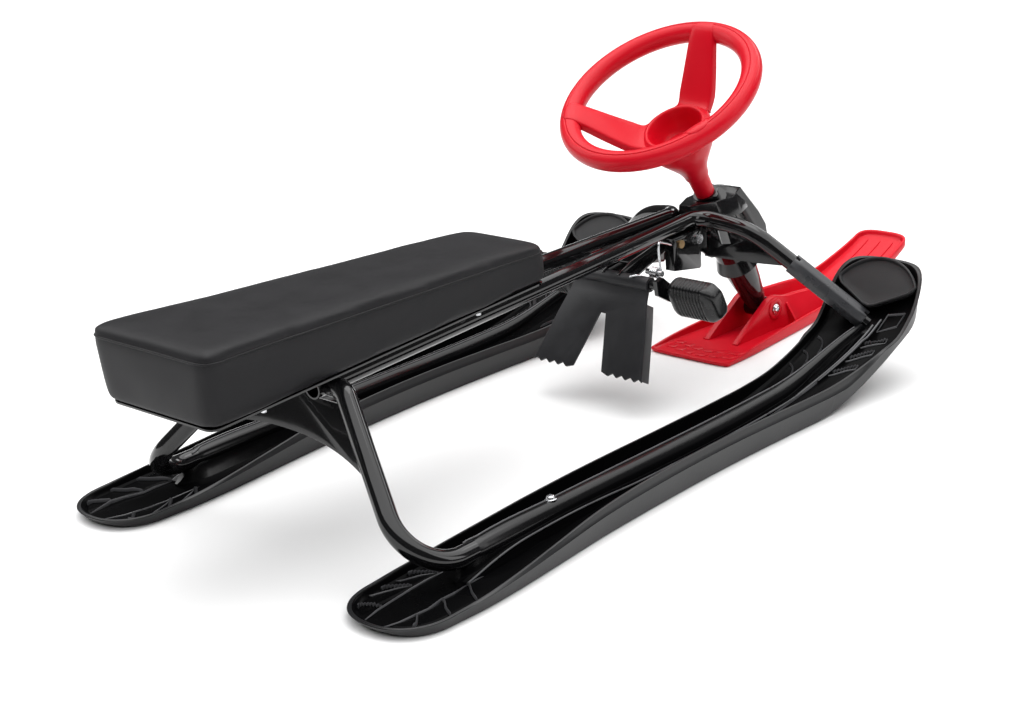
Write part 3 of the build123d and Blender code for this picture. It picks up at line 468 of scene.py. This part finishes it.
    # foot pad: a pick-shaped tread plate with a raised lip on short walls
    f = Build()
    a50 = math.radians(50)
    def on_pad(u, v, t):
        return (cx + sx * u, 378.0 + v * math.cos(a50) - t * math.sin(a50), 94.1 + v * math.sin(a50) + t * math.cos(a50))
    out = [(-49, 4), (-47.5, 0), (-43, -5), (-8, -24.8), (0, -27), (8, -24.8), (43, -5), (47.5, 0), (49, 4)]
    cen = (0, (33 * 33 - 49 * 49 - 4 * 4 + 0.0) / (2 * (33 - 4)))
    rad_pad = 33 - cen[1]
    a0 = math.atan2(4 - cen[1], 49)
    for i in range(1, 24):
        a = a0 + (math.pi - 2 * a0) * i / 24
        out.append((rad_pad * math.cos(a), cen[1] + rad_pad * math.sin(a)))
    ctr = np.array((0.0, 3.0))
    def ring(inset, t):
        o2 = []
        for p in out:
            d = np.array(p) - ctr
            ln = np.linalg.norm(d)
            o2.append(on_pad(*(ctr + d * (ln - inset) / ln), t))
        return o2
    rows = [ring(7.0, -11), ring(2.0, -3), ring(0.4, 0), ring(0, 3.4), ring(0.3, 4.6), ring(1.1, 5.2), ring(2.2, 5.2), ring(3.2, 4.6), ring(3.8, 3.4), ring(4.2, 2.4), ring(5.5, 2.1), ring(14, 2.1), ring(24, 2.3)]
    f.rows(rows, close=True, cap0=True, cap1=True)
    finish_mesh(f"tread_pad_{side}", f, "matte", "frame", [f"foot_pad_{side}"], sharp=50)

    # outer sleeve with sawn, notched ends
    s = Build()
    p2, p3 = np.array((sx * 72.0, 315, 157)), np.array((sx * 193.0, 361, 56))
    a, c = p2 + (p3 - p2) * 0.36, p2 + (p3 - p2) * 0.962
    d = (c - a) / np.linalg.norm(c - a)
    u = np.cross(d, (0, 0, 1.0)); u /= np.linalg.norm(u)
    w = np.cross(u, d)
    L_s = np.linalg.norm(c - a)
    def boxy(r0, an):
        """Eight soft flats on the outside, round inside."""
        if r0 < 10:
            return r0
        e = (an - math.radians(22.5) + math.pi / 8) % (math.pi / 4) - math.pi / 8
        return min(r0 * 0.965 / math.cos(e), r0 * 1.012)
    def srow(r0, end):
        row = []
        for k in range(64):
            an = 2 * math.pi * k / 64
            q = math.degrees(an)
            cut = 5.5 if 52 < q < 77 else (3.5 if 100 < q < 112 or 128 < q < 136 else (3.0 if 206 < q < 223 or 300 < q < 318 else 0.0))
            t = cut if end == 0 else L_s - cut * 0.8
            row.append(a + d * t + (u * math.cos(an) + w * math.sin(an)) * boxy(r0, an))
        return row
    def mid(r0, t):
        return [a + d * t + (u * math.cos(2 * math.pi * k / 64) + w * math.sin(2 * math.pi * k / 64)) * boxy(r0, 2 * math.pi * k / 64) for k in range(64)]
    s.rows([srow(9.3, 0), srow(11.2, 0), [p + d * 0.5 for p in srow(11.6, 0)], mid(11.6, 12), mid(11.6, L_s - 12), [p - d * 0.5 for p in srow(11.6, 1)], srow(11.2, 1), srow(9.3, 1)], close=True)
    s.rows([srow(9.3, 0), mid(9.3, 12), mid(9.3, L_s - 12), srow(9.3, 1)], close=True)
    finish_mesh(f"leg_sleeve_{side}", s, "grey", "frame", [f"front_sleeve_{side}"], sharp=40)

# ------------------------------------------------------------------ seat: stuffed vinyl cushion on its pan
SEAT_Y0, SEAT_Y1 = -444.0, 16.0
def seat_low(y):
    return 167.3 + (y - SEAT_Y0) * 0.020886
def seat_high(y):
    return 238.0 - (y - SEAT_Y0) * 20.0 / 460.0

def rounded(w0, w1, y0, y1, r, n=7):
    """Corner-rounded trapezoid seen from above."""
    cs = [(-w0, y0), (w0, y0), (w1, y1), (-w1, y1)]
    out = []
    for i in range(4):
        p0, p1, p2 = (np.array(cs[(i + k) % 4], float) for k in (-1, 0, 1))
        a, c = (p0 - p1) / np.linalg.norm(p0 - p1), (p2 - p1) / np.linalg.norm(p2 - p1)
        s0, s1 = p1 + a * r, p1 + c * r
        for k in range(n + 1):
            t = k / n
            out.append(tuple((1 - t) ** 2 * s0 + 2 * t * (1 - t) * p1 + t * t * s1))
    return out

def cushion_start():
    b = Build()
    rows = []
    for f, ins, dz in ((0, 7, 0.3), (0, 3.2, 1.2), (0, 1.4, 4.5), (0.3, 1.6, 0), (0.6, 1.6, 0), (1, 1.4, -15), (1, 1.6, -10), (1, 2.6, -6.0), (1, 4.8, -3.6), (1, 8.5, -2.3), (1, 14.0, -1.8)):
        g = f if f < 1 else 1 + dz / 60.0
        w0, w1 = 78 + 8 * g - ins, 53 + 5 * g - ins
        y0, y1 = SEAT_Y0 + 5 * (1 - g) + ins, SEAT_Y1 - 2 - 6 * g - ins
        ring = rounded(w0, w1, y0, y1, max(18 - ins * 0.4, 6))
        rows.append([(x, y, seat_low(y) + f * (seat_high(y) - seat_low(y)) + dz) for x, y in ring])
    b.rows(rows, close=True, cap0=True, cap1=True)
    me = bpy.data.meshes.new("seat_cover")
    me.from_pydata([P(*p) for p in b.v], [], b.f)
    bm = bmesh.new()
    bm.from_mesh(me)
    bmesh.ops.recalc_face_normals(bm, faces=bm.faces)
    bm.to_mesh(me)
    bm.free()
    return me

cushion = bpy.data.objects.new("seat_cover", cushion_start())
scene.collection.objects.link(cushion)
rm = cushion.modifiers.new("remesh", "REMESH")
rm.mode = "VOXEL"
rm.voxel_size = 0.0055
dg = bpy.context.evaluated_depsgraph_get()
new = bpy.data.meshes.new_from_object(cushion.evaluated_get(dg))
cushion.modifiers.clear()
cushion.data = new
start = np.array([v.co[:] for v in new.vertices])
pins = cushion.vertex_groups.new(name="base")
low = [i for i, p in enumerate(start) if p[2] * 1000 < seat_low(p[1] * 1000 + 136) + 3.0]
pins.add(low, 1.0, "REPLACE")
cl = cushion.modifiers.new("stuffing", "CLOTH")
cl.settings.quality = 5
cl.settings.mass = 0.3
cl.settings.tension_stiffness = 25
cl.settings.compression_stiffness = 25
cl.settings.bending_stiffness = 12.0
cl.settings.use_pressure = True
cl.settings.uniform_pressure_force = 4.0
cl.settings.effector_weights.gravity = 0
cl.settings.vertex_group_mass = "base"
cl.collision_settings.use_collision = False
cl.point_cache.frame_start, cl.point_cache.frame_end = 1, 20
for f in range(1, 21):
    scene.frame_set(f)
dg = bpy.context.evaluated_depsgraph_get()
ev = cushion.evaluated_get(dg)
sim = np.array([v.co[:] for v in ev.to_mesh().vertices])
ev.to_mesh_clear()
cushion.modifiers.clear()
scene.frame_set(1)
move = sim - start
far = np.linalg.norm(move, axis=1)
print("cushion points", len(start), "largest move mm", round(float(far.max()) * 1000, 2))
CAP = 0.0032
move = move * np.minimum(1.0, CAP / np.maximum(far, 1e-9))[:, None]
edges = np.empty(len(new.edges) * 2, dtype=np.int64)
new.edges.foreach_get("vertices", edges)
edges = edges.reshape(-1, 2)
deg = np.bincount(edges.ravel(), minlength=len(start)).astype(float)[:, None]
for _ in range(14):  # foam evens out the cover's small ripples
    acc = np.zeros_like(move)
    np.add.at(acc, edges[:, 0], move[edges[:, 1]])
    np.add.at(acc, edges[:, 1], move[edges[:, 0]])
    move = 0.35 * move + 0.65 * acc / deg
done = start + move
# the welt pulls the cover in along its line, nine millimetres under the top edge
for i in range(len(done)):
    y = done[i][1] * 1000 + 136
    d = done[i][2] * 1000 - (seat_high(y) - 11.0)
    hw = 78 + 8 - (y - SEAT_Y0) / 460 * 28 - 12
    if abs(d) < 6 and (abs(done[i][0] * 1000) > hw - 4 or y < SEAT_Y0 + 16 or y > SEAT_Y1 - 22):
        c = np.array((0.0, (min(max(y, SEAT_Y0 + 70), SEAT_Y1 - 60) - 136) / 1000))
        v = done[i][:2] - c
        done[i][:2] -= v / np.linalg.norm(v) * 0.0011 * (1 + math.cos(math.pi * d / 6)) / 2
cushion.data.vertices.foreach_set("co", done.ravel())
cushion.data.update()
sub = cushion.modifiers.new("smooth", "SUBSURF")
sub.levels = sub.render_levels = 1
dg = bpy.context.evaluated_depsgraph_get()
new = bpy.data.meshes.new_from_object(cushion.evaluated_get(dg))
cushion.modifiers.clear()
cushion.data = new
cushion.vertex_groups.clear()
for p in new.polygons:
    p.use_smooth = True
new.materials.clear()
new.materials.append(M["vinyl"])
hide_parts("seat_cushion")
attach(cushion, "frame")

# welt along the seam, laid on the finished cover
from mathutils.bvhtree import BVHTree
tree = BVHTree.FromPolygons([v.co[:] for v in new.vertices], [tuple(p.vertices) for p in new.polygons])
welt = Build()
loop = []
N = 220
for k in range(N):
    a = 2 * math.pi * k / N
    # rounded-rectangle walk so that points spread evenly
    u, v = math.cos(a), math.sin(a)
    tx = 95 * np.sign(u) * abs(u) ** 0.35
    ty = 240 * np.sign(v) * abs(v) ** 0.35
    yc = -214 + ty
    cyv = min(max(yc, SEAT_Y0 + 72), SEAT_Y1 - 58)
    o = Vector(P(tx * 1.3, yc * 1.0 + (ty * 0.15), seat_high(yc) - 11.0))
    t = Vector(P(0, cyv, seat_high(yc) - 11.0))
    hit, nrm, idx, dist = tree.ray_cast(o, (t - o).normalized())
    if hit is not None:
        q = np.array(hit) * 1000
        loop.append((q[0], q[1] + 136, seat_high(q[1] + 136) - 11.0))
rows = []
for i, p in enumerate(loop):
    p = np.array(p)
    t = np.array(loop[(i + 1) % len(loop)]) - np.array(loop[i - 1])
    t = t / np.linalg.norm(t)
    side = np.cross(t, (0, 0, 1.0)); side /= np.linalg.norm(side)
    up = np.cross(side, t)
    rows.append([p + side * 1.15 * math.cos(q) + up * 1.15 * math.sin(q) for q in [2 * math.pi * k / 10 for k in range(10)]])
welt.rows(rows, close=True, wrap=True)
finish_mesh("seat_welt", welt, "vinyl", "frame")

# staple strip and screws under the cushion
strip = Build()
def pan_pt(x, y, lift):
    return (x, y, 164.8 + (y + 298.2) * 0.020886 + lift)
ring_o = rounded(70, 47, SEAT_Y0 + 12, SEAT_Y1 - 8, 12)
ring_i = rounded(60, 37, SEAT_Y0 + 22, SEAT_Y1 - 18, 8)
strip.rows([[pan_pt(x, y, h) for x, y in r] for r, h in ((ring_i, 2.0), (ring_o, 2.0), (rounded(71, 48, SEAT_Y0 + 11, SEAT_Y1 - 7, 12), 2.6), (rounded(71, 48, SEAT_Y0 + 11, SEAT_Y1 - 7, 12), 4.4), (ring_o, 5.0), (ring_i, 5.0))], close=True, wrap=True)
finish_mesh("seat_pan_edge", strip, "paint", "frame")
sc = Build()
for x, y in ((64, -372), (-64, -372), (50, -92), (-50, -92)):
    prof = [(0.2, 0), (2.6, 0.1), (3.1, -0.6), (3.2, -1.4), (3.2, -2.2)]
    c = np.array(pan_pt(x, y, 2.2))
    sc.rows([[c + np.array((r * math.cos(q), r * math.sin(q), -2.4 - h)) for q in [2 * math.pi * k / 16 for k in range(16)]] for r, h in prof], close=True, cap0=True)
finish_mesh("seat_screws", sc, "zinc", "frame")

# ------------------------------------------------------------------ steering wheel
WC = np.array((0, 258.0, 310.0))
WA = np.array((0, -0.508217, 0.861229))
WX, WY = np.array((1.0, 0, 0)), np.array((0, 0.861229, 0.508217))
def wp(rho, ang, t):
    return WC + (WX * math.cos(ang) + WY * math.sin(ang)) * rho + WA * t

def lathe(b, prof, n=96, cap0=False, cap1=False, place=wp):
    b.rows([[place(r, 2 * math.pi * k / n, t) for k in range(n)] for r, t in prof], close=True, cap0=cap0, cap1=cap1)

rim = Build()
prof = []
for k in range(40):
    a = 2 * math.pi * k / 40
    prof.append((103.7 + 11.3 * math.cos(a), 11.3 * math.sin(a)))
g = []
for k, (r, t) in enumerate(prof):
    a = math.degrees(2 * math.pi * k / 40)
    if abs(a - 81) < 5:
        continue
    g.append((a, (r, t)))
for a, rr in ((74.0, 11.3), (77.6, 11.2), (79.6, 10.6), (81.0, 10.35), (82.4, 10.6), (84.4, 11.2), (88.0, 11.3)):
    g.append((a, (103.7 + rr * math.cos(math.radians(a)), rr * math.sin(math.radians(a)))))
g.sort(key=lambda q: q[0])
rim.rows([[wp(r, 2 * math.pi * k / 128, t) for k in range(128)] for _, (r, t) in g], close=True, wrap=True)
finish_mesh("steering_wheel_rim", rim, "red", "steering", ["wheel_rim"], sharp=60)

spider = Build()
lathe(spider, [(0.3, -74), (14, -74), (20, -72.0), (25.0, -66), (28.4, -56), (30.4, -46.6), (31.0, -45.2), (32.0, -44.4), (33.6, -44.3), (34.6, -45.0), (35.4, -46.3),
               (38.2, -47.4), (39.8, -48.8), (40.3, -50.6), (40.0, -56), (38.5, -63), (36.0, -71), (32.0, -79), (27.5, -86), (23.2, -93), (19.6, -99), (16.6, -105), (14.6, -111), (13.6, -117)], cap0=True)
SP = [(108.4, 9.3), (108.0, 10.5), (106.8, 11.4), (104.5, 12.0), (101, 12.1), (97.5, 11.2), (94, 8.9), (90, 5.2), (84, -0.8), (76, -9.4), (68, -18.2), (60, -26.6), (53, -33.8),
      (47, -39.6), (42.5, -43.6), (39, -45.9), (36.5, -46.9), (34.5, -47.2), (32.6, -47.4), (30, -50)]
SW = [(30, 20), (32.6, 23.0), (34.5, 21.6), (36.5, 20.4), (39, 19.7), (42.5, 19.3), (47, 19.0), (53, 18.5), (60, 17.7), (68, 16.7), (76, 15.6), (84, 14.5), (90, 13.7), (94, 13.0),
      (97.5, 12.3), (101, 11.4), (104.5, 9.9), (106.8, 7.6), (108.0, 4.8), (108.4, 1.6)]
for ang in (90, 210, 330):
    a0 = math.radians(ang)
    er = WX * math.cos(a0) + WY * math.sin(a0)
    et = -WX * math.sin(a0) + WY * math.cos(a0)
    rows = []
    for i, (rho, t) in enumerate(SP):
        w = float(np.interp(rho, [q[0] for q in SW], [q[1] for q in SW])) * (1.0 + 0.16 * max(0.0, min(1.0, (rho - 34) / 12)))
        p0, p1 = SP[max(i - 1, 0)], SP[min(i + 1, len(SP) - 1)]
        d = np.array((p1[0] - p0[0], p1[1] - p0[1]), float)
        d /= np.linalg.norm(d)
        nr, nt = -d[1], d[0]
        if nt < 0:
            nr, nt = -nr, -nt
        thick = 8.5 if rho < 92 else 4.5 + (8.5 - 4.5) * max(0, (98 - rho) / 6) if rho < 98 else 4.5
        row = []
        sec = [(-1, -1), (-1, -0.55), (-0.995, -0.28), (-0.975, -0.14), (-0.93, -0.05), (-0.85, 0), (-0.5, 0.05), (0, 0.07), (0.5, 0.05), (0.85, 0), (0.93, -0.05), (0.975, -0.14), (0.995, -0.28), (1, -0.55), (1, -1),
               (0.86, -1), (0.82, -0.45), (0, -0.40), (-0.82, -0.45), (-0.86, -1)]
        for u, h in sec:
            off = h * thick
            row.append(WC + er * (rho + nr * off) + et * (u * w) + WA * (t + nt * off))
        rows.append(row)
    spider.rows(rows, close=True, cap0=True, cap1=True)
finish_mesh("steering_wheel_spider", spider, "red", "steering", ["wheel_hub", "wheel_spoke_1", "wheel_spoke_2", "wheel_spoke_3"], sharp=42)

# ------------------------------------------------------------------ front ski
FS_BOT = [(287, 0.8), (302, 0), (520, 0), (560, 2.6), (600, 8), (640, 18), (680, 31), (703, 41)]
FS_RIM = [(287, 5.0), (340, 9.5), (400, 13), (520, 15.5), (560, 17.5), (600, 21.5), (640, 30), (680, 41.5), (703, 50)]
FS_FLOOR = [(287, 3.4), (520, 3.8), (560, 6.4), (600, 12), (640, 22), (680, 35), (703, 45.5)]
FS_HALF = [(55.5, 296), (56, 326), (54.5, 360), (52, 400), (49.5, 440), (46.6, 480), (44.2, 520), (42, 560), (40, 600), (38.3, 640), (36, 683)]
f = Build()
fsl = [(6, lambda w, y: bottom(FS_BOT, y)), (1.6, lambda w, y: bottom(FS_BOT, y) + 0.2), (0.4, lambda w, y: bottom(FS_BOT, y) + 1.2), (0, lambda w, y: bottom(FS_BOT, y) + 2.2),
       (0, lambda w, y: curve(FS_RIM, y) - 1.0), (0.4, lambda w, y: curve(FS_RIM, y) - 0.2), (1.1, lambda w, y: curve(FS_RIM, y)), (2.4, lambda w, y: curve(FS_RIM, y)),
       (3.1, lambda w, y: curve(FS_RIM, y) - 0.4), (3.5, lambda w, y: 0.5 * (curve(FS_RIM, y) + curve(FS_FLOOR, y))), (4.2, lambda w, y: curve(FS_FLOOR, y) + 0.5), (6.5, lambda w, y: curve(FS_FLOOR, y))]
tray(f, 0, 1, fsl, FS_HALF, 287, 703, 0.42, 0.62, lambda x, y: curve(FS_FLOOR, y), cols=24, step=8.0)
def FG(x, y, dz=0.2):
    return (x, y, curve(FS_FLOOR, y) + dz)
# staggered tread blocks at the tail, three lines at the tip
for sg in (1, -1):
    for x0, y0 in ((9, 303), (25, 307), (40, 311), (9, 319), (25, 323), (40, 327)):
        f.rows([[FG(sg * (x0 + u * a), y0 + v * c, h) for u, v in ((-1, -1), (0.6, -1), (1, -0.5), (1, 1), (-0.6, 1), (-1, 0.5))] for a, c, h in ((6.2, 5.2, -0.5), (6.2, 5.2, 0.5), (5.6, 4.6, 0.9))], close=True, cap1=True)
for x in (-18, 0, 18):
    f.bead([FG(x, y, 0.3) for y in range(630, 692, 6)], 1.8, 1.0)
# flanks that carry the bolt: slabs behind it, flared walls ahead of it
CH = [(350, 4.0), (365, 13.0), (390, 27.0), (404, 34.5), (412, 39.2), (420, 41.6), (428, 41.9), (436, 40.0), (446, 37.0), (470, 34.5), (500, 31.5), (540, 26.5), (570, 21.5), (600, 14.5)]
for sg in (1, -1):
    rows = []
    for y in [350 + 6 * k for k in range(42)]:
        z = curve(CH, y)
        fl = curve(FS_FLOOR, y)
        k = max(0.0, min(1.0, (y - 424) / 45))
        k = k * k * (3 - 2 * k)
        xo = 24.5 + k * (float(np.interp(y, [p[1] for p in FS_HALF], [p[0] for p in FS_HALF])) - 6 - 24.5)
        xt = 24.5 + max(0, (y - 470) / 160) * 8
        xi = 16.5 + max(0, (y - 470) / 160) * 8
        z = max(z, fl + 0.4)
        rows.append([(sg * xi, y, fl - 1), (sg * xi, y, z - 1.0), (sg * (xi + 0.4), y, z - 0.25), (sg * (xi + 1.2), y, z), (sg * (xt - 1.4), y, z), (sg * (xt - 0.4), y, z - 0.4), (sg * xt, y, z - 1.4),
                     (sg * (xt + (xo - xt) * 0.35), y, z + (fl - z) * 0.42), (sg * (xt + (xo - xt) * 0.75), y, z + (fl - z) * 0.8), (sg * xo, y, fl - 1)])
    f.rows(rows, close=True, cap0=True, cap1=True)
    # boss round the bolt and the rib below it
    f.rows([[(sg * x, 425 + r * math.cos(2 * math.pi * k / 40), 27 + r * math.sin(2 * math.pi * k / 40)) for k in range(40)] for r, x in ((12.6, 20), (12.6, 25.2), (12.2, 25.9), (11.4, 26.2), (8.2, 26.2), (7.8, 25.4), (7.8, 20))], close=True)
    f.rows([[(sg * (24 + 0), 444, 30), (sg * (24), 447.5, 30), (sg * 24, 447.5, 3), (sg * 24, 444, 3)], [(sg * 27.5, 444, 29), (sg * 27.5, 447.5, 29), (sg * 44, 447.5, 3), (sg * 44, 444, 3)]], close=True, cap0=True, cap1=True)
finish_mesh("front_ski_shell", f, "red", "front_ski", ["front_ski"], sharp=40)

# ------------------------------------------------------------------ pedal pads
for side, sx in (("right", 1), ("left", -1)):
    b = Build()
    a = math.radians(-65)
    def sec(x, k, groove=0.0):
        row = []
        for i in range(48):
            q = 2 * math.pi * i / 48
            c, s_ = math.cos(q), math.sin(q)
            e = 0.55
            u = 22.0 * np.sign(c) * abs(c) ** e * k
            v = 12.6 * np.sign(s_) * abs(s_) ** e * k
            u -= groove * np.sign(u) * min(1, abs(u) / 14)
            v -= groove * np.sign(v) * min(1, abs(v) / 8)
            row.append((sx * x, 184 + u * math.cos(a) - v * math.sin(a), 116 + u * math.sin(a) + v * math.cos(a)))
        return row
    rows = [sec(70, 0.55), sec(70.2, 0.78), sec(71.2, 0.86), sec(73.5, 0.94), sec(76, 0.98), sec(77.5, 1)]
    for k in range(9):
        x = 79 + k * 4.1
        rows += [sec(x, 1), sec(x + 0.5, 1, 0.35), sec(x + 0.9, 1, 0.9), sec(x + 1.7, 1, 0.9), sec(x + 2.1, 1, 0.35), sec(x + 2.6, 1)]
    rows += [sec(116, 1), sec(119, 0.985), sec(121, 0.95), sec(126.5, 0.79), sec(128.4, 0.72), sec(129.4, 0.64), sec(129.9, 0.5)]
    b.rows(rows, close=True, cap0=True, cap1=True)
    finish_mesh(f"pedal_grip_{side}", b, "rubber", "brake", [f"pedal_pad_{side}"], sharp=55)

# ------------------------------------------------------------------ return spring on the pedal rod
sp = Build()
coil = []
for k in range(0, 4 * 20 + 1):
    a = 2 * math.pi * k / 20 - math.pi / 2
    coil.append((41.0 + 9.0 * k / 80, 181 + 5.0 * math.cos(a), 138.5 + 5.0 * math.sin(a)))
leg = through([coil[-1], (50, 186.5, 135.5), (48, 187.5, 145), (46, 188.5, 160), (45.5, 189.5, 167), (44.5, 193, 168.5), (42, 206, 164), (38, 219, 158.5)], n=6)
sp.tube(coil + leg[1:], 1.25, n=10)
sp.tube([(35, 181, 138.5), (56, 181, 138.5)], 3.2, n=16)
sp.tube(through([coil[0], (39, 176, 133), (34, 166, 137.5), (28, 160, 137)], n=5), 1.25, n=10)
finish_mesh("return_spring", sp, "zinc", "brake", sharp=60)

# ------------------------------------------------------------------ screws and bolts
def bolt_head(b, c, axis, r, h):
    """Domed socket head: c is the middle of its seat."""
    c, w = np.array(c, float), np.array(axis, float)
    w /= np.linalg.norm(w)
    u = np.cross(w, (0.3, 1.0, 0.2)); u /= np.linalg.norm(u)
    v = np.cross(w, u)
    def circ(rr, t, n=36):
        return [c + w * t + (u * math.cos(2 * math.pi * k / n) + v * math.sin(2 * math.pi * k / n)) * rr for k in range(n)]
    def hexa(rr, t, n=36):
        out = []
        for k in range(n):
            a = 2 * math.pi * k / n
            d = rr * math.cos(math.pi / 6) / math.cos((a % (math.pi / 3)) - math.pi / 6)
            out.append(c + w * t + (u * math.cos(a) + v * math.sin(a)) * d)
        return out
    b.rows([circ(r * 0.6, -0.8), circ(r * 1.25, -0.4), circ(r * 1.28, 0.5), circ(r * 1.2, 0.9), circ(r, 0.95), circ(r * 0.98, h * 0.45), circ(r * 0.88, h * 0.75), circ(r * 0.7, h * 0.94), hexa(r * 0.5, h), hexa(r * 0.48, h * 0.35), hexa(r * 0.1, h * 0.3)], close=True, cap0=True, cap1=True)

# ------------------------------------------------------------------ stamped, moulded and forged pieces with eased edges
def eased(node, name, key, body, width, segs=2, angle=28, weld=2e-5):
    me = nodes[node].data.copy()
    me.transform(nodes[node].matrix_world)
    bm = bmesh.new()
    bm.from_mesh(me)
    bmesh.ops.remove_doubles(bm, verts=bm.verts, dist=weld)
    bmesh.ops.dissolve_limit(bm, angle_limit=math.radians(1.0), verts=bm.verts, edges=bm.edges)
    bm.to_mesh(me)
    bm.free()
    o = bpy.data.objects.new(name, me)
    scene.collection.objects.link(o)
    bv = o.modifiers.new("ease", "BEVEL")
    bv.width = width * 0.001
    bv.segments = segs
    bv.limit_method = "ANGLE"
    bv.angle_limit = math.radians(angle)
    bv.use_clamp_overlap = True
    dg = bpy.context.evaluated_depsgraph_get()
    new = bpy.data.meshes.new_from_object(o.evaluated_get(dg))
    o.modifiers.clear()
    o.data = new
    new.attributes.remove(new.attributes["custom_normal"]) if "custom_normal" in new.attributes else None
    for p in new.polygons:
        p.use_smooth = True
    new.set_sharp_from_angle(angle=math.radians(40))
    new.materials.clear()
    new.materials.append(M[key])
    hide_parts(node)
    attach(o, body)
    return o

for side, sx in (("right", 1), ("left", -1)):
    b = Build()
    bolt_head(b, (sx * 193.4, -161, 37.0), (-sx * 0.12, 0, 1), 4.4, 4.2)
    finish_mesh(f"tube_bolt_{side}", b, "zinc", "frame", [f"frame_bolt_{side}"], sharp=30)
b = Build()
for sg in (1, -1):
    bolt_head(b, (sg * 25.4, 425, 27), (sg, 0, 0), 4.6, 3.4)
b.tube([(-25, 425, 27), (25, 425, 27)], 4.9, n=24)
finish_mesh("pivot_bolt", b, "zinc", "front_ski", ["ski_bolt"], sharp=30)

eased("head_cover", "head_shroud", "cover", "frame", 1.6, segs=3)
eased("head_gusset", "gusset_plate", "paint", "frame", 2.2, segs=3)
eased("brake_claw", "claw_plate", "steel", "brake", 0.5)
eased("brake_bracket", "bracket_plates", "paint", "frame", 0.8)
eased("brake_lever", "lever_plates", "paint", "brake", 0.6)
eased("seat_bracket", "arch_plate", "paint", "frame", 0.9)

# ------------------------------------------------------------------ materials on the CAD nodes
SLOTS = {"black_plastic": "ski", "matte_black": "matte", "cover_plastic": "cover", "black_paint": "paint", "grey_paint": "grey",
         "vinyl": "vinyl", "red_plastic": "red", "claw_steel": "steel", "brass": "brass", "zinc": "zinc", "rubber": "rubber"}
node_slot = {part["node"]: part["material_slot"] for part in frame["record"]["subparts"]}
for name, o in nodes.items():
    key = SLOTS[node_slot[name]]
    if not o.material_slots:
        o.data.materials.append(M[key])
    for s in o.material_slots:
        s.material = M[key]
